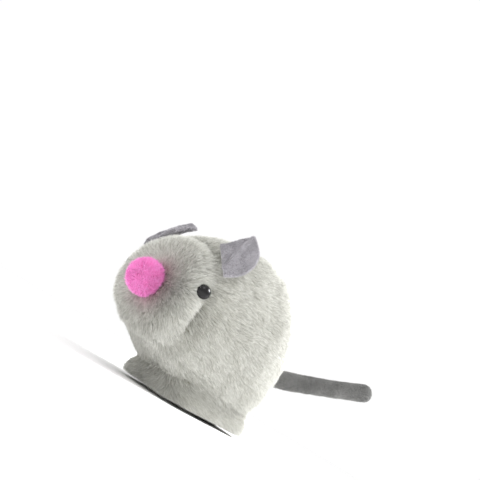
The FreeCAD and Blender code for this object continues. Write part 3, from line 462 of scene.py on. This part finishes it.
def body_mesh(bm):
    bmesh.ops.create_icosphere(bm, subdivisions=7, radius=0.03)
    lost = press(bm, skin_tree, body_centre)
    for _ in range(14):
        bmesh.ops.smooth_vert(bm, verts=bm.verts, factor=0.5, use_axis_x=True, use_axis_y=True,
                              use_axis_z=True)
    bm.normal_update()
    swell(bm)
    skirt_the_foot(bm)
    print("rays that missed:", lost, "vertices:", len(bm.verts))


backing_paint = Paint("fur_backing", roughness=0.9, Sheen_Weight=0.3)
patch = backing_paint.speckle(6 * MM, detail=4)
fine = backing_paint.speckle(0.5 * MM, detail=2)
backing_paint.colour(backing_paint.blend(backing_paint.clamp(patch + fine * 0.4, 0.5, 0.9),
                                         (0.25, 0.24, 0.21), (0.40, 0.39, 0.36)))
backing_paint.bump(fine, 0.3 * MM)
plush_body = new_piece("plush_body", body_mesh, backing_paint)
wall = plush_body.modifiers.new("cloth", "SOLIDIFY")
wall.thickness = 0.8 * MM
wall.offset = -1
finished(plush_body)
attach(plush_body, "mouse_body")
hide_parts(*skin_names)
print("plush body:", len(plush_body.data.polygons), "faces")

# %% [markdown]
# ## Pile
# Real pile is thousands of fine fibres that leave the cloth at a slant and lie back from the nose. A
# fibre here is a thin blade, two faces long, that narrows to a point and bends a little. Blades are
# scattered over a surface by area, leaned along it, and gathered in small tufts, because plush
# clumps. A fixed seed makes every run alike. Hair curves would be lighter, but they don't leave
# Blender as a mesh does.

# %% Scatter points over a surface
def mesh_numbers(mesh, name, width, kind="vertices"):
    """One property of a mesh's points, as rows of an array."""
    items = getattr(mesh, kind)
    values = np.empty(len(items) * width, np.int32 if name == "vertices" else np.float64)
    items.foreach_get(name, values)
    return values.reshape(-1, width)


def surface_samples(piece, count, draw, keep):
    """Random points on a piece, with normals, where keep(middles, facings) says so."""
    mesh = piece.data
    mesh.calc_loop_triangles()
    corners = mesh_numbers(mesh, "vertices", 3, "loop_triangles")
    points = mesh_numbers(mesh, "co", 3)
    normals = mesh_numbers(mesh, "normal", 3)
    a, b, c = (points[corners[:, i]] for i in range(3))
    facing = np.cross(b - a, c - a)
    area = np.linalg.norm(facing, axis=1) / 2
    area = np.where(keep((a + b + c) / 3, facing), area, 0)
    chosen = draw.choice(len(area), count, p=area / area.sum())
    u, v = draw.random(count), draw.random(count)
    flip = u + v > 1
    u[flip], v[flip] = 1 - u[flip], 1 - v[flip]
    shares = (1 - u - v, u, v)
    spots = sum(share[:, None] * points[corners[chosen, i]] for i, share in enumerate(shares))
    ups = sum(share[:, None] * normals[corners[chosen, i]] for i, share in enumerate(shares))
    return spots, unit(ups), area.sum()


def unit(vectors):
    """The same vectors, each one long."""
    return vectors / np.maximum(np.linalg.norm(vectors, axis=1), 1e-9)[:, None]


def along_surface(vectors, ups):
    """The part of each vector that lies in the surface, one long."""
    return unit(vectors - np.einsum("ij,ij->i", vectors, ups)[:, None] * ups)


def wave(spots, size, seed):
    """Three smooth random numbers for each point: a few sine waves in random directions."""
    draw = np.random.default_rng(seed)
    total = np.zeros((len(spots), 3))
    for _ in range(7):
        way = draw.normal(size=(3, 3)) / size
        total += np.sin(spots @ way.T + draw.random(3) * 6.28)
    return total / 3


def steps(values, low, high):
    """The array form of rise."""
    share = np.clip((values - low) / (high - low), 0, 1)
    return share * share * (3 - 2 * share)


def humps(values, middle, width):
    """The array form of hump."""
    return np.exp(-((values - middle) / width) ** 2)


# %% Grow blades from points
BLADE = ((0.0, 1.0), (0.55, 0.8), (1.0, 0.0))    # share of length, share of width


def blades(name, spots, ups, ways, lengths, widths, lift, droop, paint, draw, marks):
    """One mesh of many blades. ways is where each leans, and lift is the sine of its slant."""
    count = len(spots)
    turn = draw.normal(size=count) * 0.8
    sides = np.cross(ups, ways)
    across = unit(sides * np.cos(turn)[:, None] + ups * np.sin(turn)[:, None])
    way_up = ups * lift[:, None] + ways * np.sqrt(1 - lift ** 2)[:, None]
    rows = []
    for share, wide in BLADE:
        middle = spots + (way_up * share - ups * (droop * share ** 2)[:, None]) * lengths[:, None]
        reach = across * (widths * wide / 2)[:, None]
        rows.extend((middle - reach, middle + reach) if wide else (middle,))
    rank = len(rows)
    start = (np.arange(count) * rank)[:, None]
    quads = start + np.array((0, 1, 3, 2))
    tips = start + np.array((2, 3, 4))
    loops = np.concatenate([quads.ravel(), tips.ravel()])
    totals = np.concatenate([np.full(count, 4), np.full(count, 3)])
    mesh = bpy.data.meshes.new(name)
    mesh.vertices.add(count * rank)
    mesh.vertices.foreach_set("co", np.stack(rows, axis=1).ravel())
    mesh.loops.add(len(loops))
    mesh.loops.foreach_set("vertex_index", loops)
    mesh.polygons.add(len(totals))
    mesh.polygons.foreach_set("loop_start", np.concatenate([[0], np.cumsum(totals)[:-1]]))
    mesh.update(calc_edges=True)
    marks = dict(marks, tone=draw.random(count))
    for mark, values in marks.items():
        layer = mesh.attributes.new(mark, "FLOAT", "POINT")
        layer.data.foreach_set("value", np.repeat(values, rank).astype(np.float32))
    layer = mesh.attributes.new("height", "FLOAT", "POINT")     # 0 at the root, 1 at the tip
    heights = [share for share, wide in BLADE for _ in range(2 if wide else 1)]
    layer.data.foreach_set("value", np.tile(heights, count).astype(np.float32))
    mesh.polygons.foreach_set("use_smooth", [True] * len(totals))
    piece = bpy.data.objects.new(name, mesh)
    bpy.context.scene.collection.objects.link(piece)
    mesh.materials.append(paint.material)
    print(name, count, "blades")
    return piece


# %% Fibre material
fibre_paint = Paint("fur_fibre", roughness=0.5, Sheen_Weight=0.2)
tone = fibre_paint.attribute("tone")
height = fibre_paint.attribute("height")
# pale carries painted light over the back and top, painted shade in the valley behind the snout's ridge
# and a painted highlight on the ridge.
pale = fibre_paint.attribute("pale")
blush = fibre_paint.attribute("blush")
root_to_tip = fibre_paint.clamp(height * 0.75 + (tone - 0.5) * 0.8 + pale * 0.5, 0.0, 1.15)
silver = fibre_paint.blend(root_to_tip, (0.23, 0.225, 0.18), (0.76, 0.76, 0.715))
# Near the nose the fibres turn a darker pink: a pink tint, with painted shade round the nose's base.
fibre_paint.colour(fibre_paint.blend(blush * 0.75, silver, (0.62, 0.33, 0.40)))
fibre_paint.rough(0.6 - fibre_paint.clamp(tone, 0.94, 0.97) * 0.38)

# %% [markdown]
# ## The fur
# The fur is made in slices from front to back, so that no piece grows too heavy. It lies away from the
# nose, hangs a little, is shortest round the nose, and is longest on the ridge, in front of the ears
# and along the plate, whose edge it hides.

# %% Grow the fur
FUR_PIECES = 7
FIBRES = 420000
FUR_LENGTH = 3.6 * MM
FUR_WIDTH = 0.15 * MM
nose_at = np.array(nose_spot)
eye_at = np.array(eye_spot)


def fur_zone(index):
    """Keeps the slice of the body, front to back, with this number, on the outer side."""
    step = (skin_high.y - skin_low.y) / FUR_PIECES
    low = skin_low.y + index * step if index else -1
    high = skin_low.y + (index + 1) * step if index < FUR_PIECES - 1 else 1

    def keep(middles, facings):
        outward = np.einsum("ij,ij->i", facings, middles - np.array(body_centre)) > 0
        return outward & (middles[:, 1] >= low) & (middles[:, 1] < high)

    return keep


def plate_clear(spots):
    """How far points are outside the belly plate, seen from below."""
    half_x = (plate_high.x - plate_low.x) / 2
    half_y = (plate_high.y - plate_low.y) / 2
    dx = np.maximum(0, np.abs(spots[:, 0]) - half_x)
    dy = np.maximum(0, np.abs(spots[:, 1] - (plate_high.y + plate_low.y) / 2) - half_y)
    return np.hypot(dx, dy)


ear_hinge, ear_axis = joint_spot("left_ear_fold")
EAR_ROOT_HALF = 7.0 * MM     # half of the width of an ear's root
EAR_FRONT = Vector((0, -1.5 * MM, 0))


def ear_distance(spots):
    """How far points are from a line just in front of the nearer ear's root."""
    mirror = np.abs(spots * (1, 0, 0)) + spots * (0, 1, 1)
    start = np.array(ear_hinge + EAR_FRONT)
    run = np.array(ear_axis)
    place = np.clip((mirror - start) @ run, -EAR_ROOT_HALF, EAR_ROOT_HALF)
    return np.linalg.norm(mirror - start - place[:, None] * run, axis=1)


def coat_marks(spots, far, skirt, ridge):
    """How pale the fibres are, with painted light over the back and top, painted shade in the valley
    and a painted highlight on the ridge, and how much the nose tints them, with painted shade round it.
    """
    # Painted shade: the fibres in the valley behind the snout's ridge are darkened.
    valley = humps(far, VALLEY, VALLEY_WIDTH) * steps(np.abs(spots[:, 0]), 4 * MM, 14 * MM)
    valley = valley * humps(spots[:, 2], 26 * MM, 12 * MM)
    clouds = wave(spots, 5 * MM, 9)[:, 0] + 0.6 * wave(spots, 1.8 * MM, 10)[:, 0]
    # Painted light: the back and the top of the coat are painted paler, as if lit from behind and
    # above.
    painted_light_behind = steps(spots[:, 1] + 0.6 * spots[:, 2], 10 * MM, 48 * MM)
    # The ridge's fur is paler, with a painted highlight along it. The clouds give a random tone.
    pale = 0.38 + 0.12 * skirt + 0.16 * clouds + 0.45 * ridge - 0.9 * valley + 0.35 * painted_light_behind
    # The mark near the nose is a pink tint with painted shade round the nose's base.
    return {"pale": np.clip(pale, 0, 1), "blush": humps(far, 3 * MM, 4.6 * MM)}


def above_floor(spots, ups, ways, lift):
    """The longest that a fibre can be before its tip reaches the floor."""
    room = np.maximum(spots[:, 2] - floor_z - 0.2 * MM, 0.3 * MM)
    drop = np.maximum(0.2 - ups[:, 2] * lift - ways[:, 2] * np.sqrt(1 - lift ** 2), 0.05)
    return room / drop


def fur(index, count):
    """One slice of the coat, with count fibres."""
    draw = np.random.default_rng(100 + index)
    spots, ups, _ = surface_samples(plush_body, count, draw, fur_zone(index))
    away = spots - nose_at
    far = np.linalg.norm(away, axis=1)
    mirror = spots * (np.sign(spots[:, :1]) * (1, 0, 0) + (0, 1, 1))
    to_eye = np.linalg.norm(mirror - eye_at, axis=1)
    skirt = (1 - steps(spots[:, 2], 3 * MM, 9 * MM)) * (1 - steps(plate_clear(spots), 0, 7 * MM))
    fringe = 1 - steps(ear_distance(spots), 1.5 * MM, 3.5 * MM)
    ridge = humps(far, RIDGE, 2.6 * MM) * steps(spots[:, 2], 8 * MM, 18 * MM)

    ways = along_surface(away + np.array((0, 0.25, -0.25)) * far[:, None], ups)
    loose = wave(spots, 2.6 * MM, 5) * 0.20 + wave(spots, 0.9 * MM, 6) * 0.16
    ways = along_surface(ways + loose + draw.normal(size=ways.shape) * 0.12, ups)
    lift = 0.42 + 0.07 * wave(spots, 1.6 * MM, 7)[:, 0] + draw.normal(size=count) * 0.08
    lift = np.clip(lift + 0.4 * skirt + 0.25 * (1 - steps(far, 7 * MM, 14 * MM)), 0.12, 0.9)
    lift = np.clip(lift + 0.35 * fringe, 0.12, 0.9)
    lengths = FUR_LENGTH * (0.75 + 0.35 * draw.random(count)) * (0.6 + 0.4 * steps(far, 0, 24 * MM))
    lengths = lengths * (1 + 0.25 * ridge + 0.35 * skirt + 0.4 * fringe)
    lengths = lengths * (0.75 + 0.25 * steps(to_eye, 1.5 * MM, 3.5 * MM))
    lengths = np.minimum(lengths, above_floor(spots, ups, ways, lift))
    widths = FUR_WIDTH * (0.7 + 0.6 * draw.random(count))
    droop = 0.10 + 0.10 * draw.random(count)
    marks = coat_marks(spots, far, skirt, ridge)
    piece = blades("fur_%d" % (index + 1), spots, ups, ways, lengths, widths, lift, droop,
                   fibre_paint, draw, marks)
    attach(piece, "mouse_body")


zone_areas = [surface_samples(plush_body, 1, np.random.default_rng(0), fur_zone(i))[2]
              for i in range(FUR_PIECES)]
for index in range(FUR_PIECES):
    fur(index, int(FIBRES * zone_areas[index] / sum(zone_areas)))

# %% [markdown]
# ## The nose
# The nose is a craft pompom: a tight ball of dyed acrylic, trimmed round, with a soft edge. A dense
# core carries the colour and short fibres stand out of it in all directions.

# %% Pompom
nose_paint = Paint("pompom_core", roughness=0.95, Sheen_Weight=0.5, Sheen_Tint=(1.0, 0.7, 0.9, 1))
tufts = nose_paint.speckle(0.9 * MM, detail=3)
nose_paint.colour(nose_paint.blend(nose_paint.clamp(tufts, 0.35, 0.65), (0.95, 0.20, 0.60),
                                   (1.0, 0.30, 0.72)))
nose_paint.bump(tufts, 0.5 * MM)
pompom_centre = Vector((0, nose_low.y + nose_radius, nose_spot.z))
POMPOM_FIBRES = 26000
POMPOM_PILE = 1.9 * MM
POMPOM_SEAT = 4 * MM     # how deep behind the snout's tip the fibres still grow


def pompom_mesh(bm):
    bmesh.ops.create_icosphere(bm, subdivisions=5, radius=nose_radius - 1.3 * MM)
    for vertex in bm.verts:
        vertex.co *= 1 + 0.05 * noise.noise(vertex.co / (2.2 * MM))
        vertex.co += pompom_centre
    print("pompom faces:", len(bm.faces))


pompom = new_piece("pompom_core", pompom_mesh, nose_paint)
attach(pompom, "mouse_body")
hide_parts("nose_pompom")

pompom_fibre = Paint("pompom_fibre", roughness=0.8, Sheen_Weight=0.4, Sheen_Tint=(1.0, 0.75, 0.9, 1))
pink_share = pompom_fibre.attribute("height") + pompom_fibre.attribute("tone") * 0.4
pompom_fibre.colour(pompom_fibre.blend(pompom_fibre.clamp(pink_share, 0.1, 1.2),
                                       (0.98, 0.20, 0.60), (1.0, 0.42, 0.82)))


def before_the_snout(middles, facings):
    """Keeps the part of the ball that isn't seated on the snout."""
    return middles[:, 1] < skin_low.y + POMPOM_SEAT


def pompom_fluff():
    """Fibres that stand out of the ball in all directions."""
    draw = np.random.default_rng(21)
    spots, ups, _ = surface_samples(pompom, POMPOM_FIBRES, draw, before_the_snout)
    ways = along_surface(draw.normal(size=spots.shape) + wave(spots, 1.2 * MM, 3), ups)
    lengths = POMPOM_PILE * (0.6 + 0.6 * draw.random(POMPOM_FIBRES))
    widths = 0.12 * MM * (0.7 + 0.6 * draw.random(POMPOM_FIBRES))
    lift = np.clip(0.72 + 0.2 * draw.normal(size=POMPOM_FIBRES), 0.3, 0.98)
    return blades("pompom_pile", spots, ups, ways, lengths, widths, lift,
                  np.full(POMPOM_FIBRES, 0.05), pompom_fibre, draw, {})


pompom_pile = pompom_fluff()
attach(pompom_pile, "mouse_body")

# %% [markdown]
# ## Velour
# The ears are a lavender-grey velour, a knitted cloth with a very short upright pile, and the tail is
# the same cloth in a darker grey. Blades half a millimetre long give it its soft edge, and the cloth
# under them gets a like colour.

# %% Velour materials
def velour_colours(paint, dark, light, clouds, lightest):
    """The colours of a velour's fibres, from the root of a dark one to the tip of a pale one."""
    share = (paint.attribute("height") * 0.5 + paint.attribute("tone") * 0.4
             + paint.attribute("pale") * clouds)
    paint.colour(paint.blend(paint.clamp(share, 0.1, lightest), dark, light))


velour_paint = Paint("velour_cloth", roughness=0.95, Sheen_Weight=0.4, Sheen_Roughness=0.4)
velour_cloud = velour_paint.speckle(3.5 * MM, detail=4)
velour_fine = velour_paint.speckle(0.35 * MM, detail=2)
velour_share = velour_paint.clamp(velour_cloud * 0.7 + velour_fine * 0.3, 0.35, 0.65)
velour_paint.colour(velour_paint.blend(velour_share, (0.24, 0.23, 0.25), (0.38, 0.365, 0.39)))
velour_paint.bump(velour_fine, 0.15 * MM)
velour_fibre = Paint("velour_fibre", roughness=0.7, Sheen_Weight=0.35)
velour_colours(velour_fibre, (0.28, 0.27, 0.29), (0.62, 0.60, 0.64), clouds=0.5, lightest=1.2)
tail_paint = Paint("tail_cloth", roughness=0.95, Sheen_Weight=0.4, Sheen_Roughness=0.4)
tail_cloud = tail_paint.speckle(3.5 * MM, detail=4)
tail_paint.colour(tail_paint.blend(tail_paint.clamp(tail_cloud, 0.35, 0.65), (0.12, 0.12, 0.118),
                                   (0.22, 0.22, 0.215)))
tail_fibre = Paint("tail_fibre", roughness=0.7, Sheen_Weight=0.3)
velour_colours(tail_fibre, (0.085, 0.085, 0.083), (0.32, 0.32, 0.31), clouds=0.6, lightest=1.3)


def everywhere(middles, facings):
    """Keeps the whole of a piece."""
    return np.full(len(middles), True)


def velour_pile(piece, name, count, seed, flow, length, body, paint):
    """Short upright pile over the whole of a velour piece."""
    draw = np.random.default_rng(seed)
    spots, ups, _ = surface_samples(piece, count, draw, everywhere)
    ways = along_surface(np.array(flow) + wave(spots, 1.4 * MM, seed) * 0.5
                         + draw.normal(size=spots.shape) * 0.4, ups)
    lift = np.clip(0.72 + 0.1 * draw.normal(size=count), 0.3, 0.98)
    pale = np.clip(0.5 + 0.3 * wave(spots, 2.0 * MM, seed + 1)[:, 0], 0, 1)
    lengths = length * (0.7 + 0.6 * draw.random(count))
    widths = 0.10 * MM * (0.7 + 0.6 * draw.random(count))
    pile = blades(name, spots, ups, ways, lengths, widths, lift, np.full(count, 0.05), paint,
                  draw, {"pale": pale})
    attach(pile, body)


# %% [markdown]
# ## The ears
# An ear is two plies of velour sewn round and turned, with its root pleated once, so that one half
# folds down over the other along a slanting crease. A flat grid is stretched to the ear's outline, the
# crease and a slight cup are pushed in, and the cloth gets its thickness last.

# %% Ear shape
LEFT_FLAP = Vector((0.6, 0.57, 0.56))
RIGHT_FLAP = Vector((0.45, 0.79, 0.42))     # before it is mirrored: this ear lies further back
# The rim from the upper root round the tip to the lower root: along the root and out, in millimetres.
EAR_RIM = ((-6.6, 1.0), (-8.4, 4.4), (-10.2, 8.0), (-9.6, 9.1), (-6.5, 9.7), (-2.5, 9.9), (1.0, 9.2),
           (4.2, 7.2), (6.4, 4.3), (7.4, 1.6))
EAR_CREASE = ((-9.6, 9.0), (2.6, -1.0))     # from the tip to the root, in the same measure
EAR_DEPTH = 2.2          # how far the root runs on under the fur, in millimetres
EAR_PLIES = 1.1 * MM     # the thickness of the two plies together
EAR_FRONT_WAY = Vector((0.7, -0.7, 0))      # roughly where the cupped side looks


def rim_point(share):
    """The place on the ear's rim at a share of its length, rounded through its points."""
    place = share * (len(EAR_RIM) - 1)
    index = min(int(place), len(EAR_RIM) - 2)
    local = place - index
    picks = [EAR_RIM[min(max(index + k, 0), len(EAR_RIM) - 1)] for k in (-1, 0, 1, 2)]
    return [0.5 * (2 * b + (c - a) * local + (2 * a - 5 * b + 4 * c - d) * local ** 2
                   + (3 * b - a - 3 * c + d) * local ** 3) for a, b, c, d in zip(*picks)]


def ear_relief(u, v):
    """How far the cloth stands towards the front, in millimetres, for crease, cup and wrinkles."""
    (u1, v1), (u2, v2) = EAR_CREASE
    length = math.hypot(u2 - u1, v2 - v1)
    beside = ((u - u1) * (v2 - v1) - (v - v1) * (u2 - u1)) / length
    upper = rise(-beside, -0.25, 0.25)
    relief = upper * (1.3 + 0.5 * hump(-beside, 0.6, 0.7))
    relief -= (1 - upper) * 0.5 * hump(beside, 0.7, 0.8)
    relief -= 0.010 * (u + 1) ** 2 + 0.012 * v * v
    relief += 0.25 * noise.noise((u / 3.5, v / 3.5, 4.0))
    return relief


def ear_mesh(is_right, aim):
    """Makes a maker of one ear: aim is where the flap points, before a right ear is mirrored."""
    flap = (aim - aim.dot(ear_axis) * ear_axis).normalized()
    front = ear_axis.cross(flap)
    if front.dot(EAR_FRONT_WAY) < 0:
        front = -front

    def make(bm):
        bmesh.ops.create_grid(bm, x_segments=60, y_segments=44, size=0.5)
        for vertex in bm.verts:
            share, out = vertex.co.x + 0.5, vertex.co.y + 0.5
            end_u, end_v = rim_point(share)
            root_u, root_v = (2 * share - 1) * EAR_ROOT_HALF / MM, -EAR_DEPTH
            u = root_u + (end_u - root_u) * out
            v = root_v + (end_v - root_v) * out
            spot = ear_hinge + (ear_axis * u + flap * v + front * ear_relief(u, v)) * MM
            vertex.co = Vector((-spot.x, spot.y, spot.z)) if is_right else spot
        bmesh.ops.recalc_face_normals(bm, faces=bm.faces)

    return make


for side_name, aim in (("left", LEFT_FLAP), ("right", RIGHT_FLAP)):
    ear = new_piece("velour_%s_ear" % side_name, ear_mesh(side_name == "right", aim), velour_paint)
    plies = ear.modifiers.new("two plies", "SOLIDIFY")
    plies.thickness = EAR_PLIES
    plies.offset = 0
    rounding = ear.modifiers.new("rolled rim", "SUBSURF")
    rounding.levels = rounding.render_levels = 1
    finished(ear)
    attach(ear, "%s_ear_flap" % side_name)
    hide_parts("%s_ear" % side_name)
    velour_pile(ear, "velour_%s_ear_pile" % side_name, 22000, 31, (0.3, 0.5, 0.4), 0.55 * MM,
                "%s_ear_flap" % side_name, velour_fibre)
    print(side_name, "ear", len(ear.data.polygons), "faces")

# %% [markdown]
# ## The tail
# The tail is a strip of the same velour rolled into a tube and sewn along its length, with its end
# pinched shut. A smooth path runs through the frame's tail. Rings set round it are bridged, and each
# ring dips where the seam runs, because the thread pulls the pile in.

# %% Tail shape
tail_root = joint_spot("tail_sway")[0]
TAIL_RADIUS = 3.4 * MM
TAIL_KNEE = Vector((3, 15.5, 3.5)) * MM     # where the tail starts to curl up, from its root
TAIL_END = Vector((27, 36, 17)) * MM        # its far end, from its root
TAIL_RINGS = 150
TAIL_CLOSES = 0.955      # the share of its length at which it starts to close
SEAM_ANGLE = 2.5         # where the seam runs, in radians round the tail


def tail_path(share):
    """A curve that leaves along the first run and ends along the second."""
    start = tail_root - TAIL_KNEE * 0.45
    middle = tail_root + TAIL_KNEE * 1.08
    end = tail_root + TAIL_END
    a = (1 - share) ** 2
    b = 2 * share * (1 - share)
    return start * a + middle * b + end * share ** 2


def tail_radius(share, angle):
    """The tail's radius at a share of its length and an angle round it."""
    past = max(0.0, (share - TAIL_CLOSES) / (1 - TAIL_CLOSES))
    close = math.sqrt(max(0.0, 1 - past ** 2))
    seam = hump(math.remainder(angle - SEAM_ANGLE, math.tau), 0, 0.16)
    puckers = noise.noise((math.cos(angle) * 1.5, math.sin(angle) * 1.5, share * 16))
    radius = TAIL_RADIUS * (0.15 + 0.85 * close) * (1 + 0.05 * puckers - 0.13 * seam)
    return radius * (1 + 0.05 * hump(share, 0.35, 0.2))


def tail_ring(bm, share):
    """One ring of the tube, at a share of its length, as its edges."""
    spot = tail_path(share)
    ahead = (tail_path(min(share + 0.01, 1)) - tail_path(max(share - 0.01, 0))).normalized()
    across = ahead.cross(Vector((0, 0, 1))).normalized()
    over = across.cross(ahead)
    made = bmesh.ops.create_circle(bm, cap_ends=False, radius=1, segments=48)["verts"]
    for vertex in made:
        angle = math.atan2(vertex.co.y, vertex.co.x)
        out = across * math.cos(angle) + over * math.sin(angle)
        vertex.co = spot + out * tail_radius(share, angle)
    return list({edge for vertex in made for edge in vertex.link_edges})


def tail_mesh(bm):
    rings = [tail_ring(bm, index / TAIL_RINGS) for index in range(TAIL_RINGS + 1)]
    for first, second in zip(rings, rings[1:]):
        bmesh.ops.bridge_loops(bm, edges=first + second)
    for edges in (rings[0], rings[-1]):
        bmesh.ops.contextual_create(bm, geom=edges)
    bmesh.ops.recalc_face_normals(bm, faces=bm.faces)


tail = new_piece("velour_tail", tail_mesh, tail_paint)
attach(tail, "tail_tube")
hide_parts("tail")
velour_pile(tail, "velour_tail_pile", 45000, 41, (0.4, 0.7, 0.3), 0.7 * MM, "tail_tube",
            tail_fibre)
print("tail", len(tail.data.polygons), "faces")

# %% [markdown]
# ## Materials for the frame's own parts
# The beads, screws, gears and wheels keep their shapes from the frame and get finishes that fit how
# they are made: drawn steel with fine scratches, sawn brass with a faint tarnish, moulded plastic with
# a grained surface, soft rubber with dust in its pores.

# %% Finishes
def moulded(name, first, second, roughness, grain=0.25 * MM):
    """Injection-moulded plastic: slight clouds in the colour, a fine spark-eroded grain."""
    paint = Paint(name, roughness=roughness)
    cloud = paint.speckle(8 * MM, detail=3)
    fine = paint.speckle(grain, detail=2)
    paint.colour(paint.blend(cloud, first, second))
    paint.rough(roughness + (fine - 0.5) * 0.2)
    paint.bump(fine, 0.04 * MM)
    return paint


def metal(name, first, second, roughness, stretch=(1, 1, 14)):
    """Metal with scratches drawn along one direction and a little tarnish."""
    paint = Paint(name, roughness=roughness, metallic=1.0)
    lines = paint.speckle(1.2 * MM, detail=4, vector=paint.where(scale=stretch))
    tarnish = paint.speckle(3 * MM, detail=4)
    paint.colour(paint.blend(paint.clamp(tarnish, 0.35, 0.7), first, second))
    paint.rough(roughness + (lines - 0.5) * 0.3)
    paint.bump(lines, 0.02 * MM)
    return paint


bead_paint = Paint("bead_black", roughness=0.2, Specular_IOR_Level=0.25)
bead_cloud = bead_paint.speckle(0.8 * MM, detail=2)
bead_paint.colour(bead_paint.blend(bead_cloud, (0.004, 0.004, 0.005), (0.012, 0.011, 0.011)))
bead_paint.rough(0.12 + bead_cloud * 0.15)

rubber_paint = Paint("tyre_rubber", roughness=0.8)
pores = rubber_paint.speckle(0.4 * MM, detail=3)
dust = rubber_paint.speckle(3 * MM, detail=4)
rubber_paint.colour(rubber_paint.blend(rubber_paint.clamp(dust, 0.45, 0.75), (0.015, 0.015, 0.016),
                                       (0.07, 0.068, 0.062)))
rubber_paint.bump(pores, 0.08 * MM)

plate_paint = moulded("plate_plastic", (0.55, 0.55, 0.52), (0.62, 0.62, 0.59), 0.45)
shell_paint = moulded("shell_plastic", (0.68, 0.67, 0.62), (0.75, 0.74, 0.70), 0.5)
wheel_paint = moulded("wheel_plastic", (0.80, 0.78, 0.72), (0.88, 0.86, 0.80), 0.35)
steel_paint = metal("plated_steel", (0.62, 0.62, 0.60), (0.48, 0.47, 0.45), 0.28)
spring_paint = metal("blued_spring_steel", (0.12, 0.14, 0.20), (0.20, 0.19, 0.18), 0.25)
brass_paint = metal("gear_brass", (0.72, 0.50, 0.20), (0.48, 0.32, 0.13), 0.3)
key_paint = metal("key_steel", (0.70, 0.70, 0.68), (0.56, 0.55, 0.52), 0.22)

FINISHES = (
    (bead_paint, ("left_eye", "right_eye")),
    (rubber_paint, ("left_tyre", "right_tyre")),
    (plate_paint, ("base_plate",)),
    (shell_paint, ("left_body_shell", "right_body_shell", "axle_bushes")),
    (wheel_paint, ("left_wheel", "right_wheel", "front_roller", "key_bushing")),
    (steel_paint, ("eye_washers", "motor_screws", "base_screws", "shell_screws", "roller_pin",
                   "left_motor_plate", "right_motor_plate", "motor_pillars", "second_shaft",
                   "third_shaft", "drive_axle", "winding_arbor")),
    (brass_paint, ("main_gear", "second_gear", "second_pinion", "third_gear", "third_pinion",
                   "drive_pinion", "ratchet_wheel")),
    (spring_paint, ("mainspring", "click_pawl")),
    (key_paint, ("winding_key",)),
)

dressed = set()
for paint, names in FINISHES:
    for name in names:
        node = nodes[name]
        node.data.materials.clear()
        node.data.materials.append(paint.material)
        dressed.add(name)
left_bare = set(nodes) - dressed - set(skin_names) - {"nose_pompom", "left_ear", "right_ear", "tail"}
print("finished nodes:", len(dressed), "bare:", sorted(left_bare))
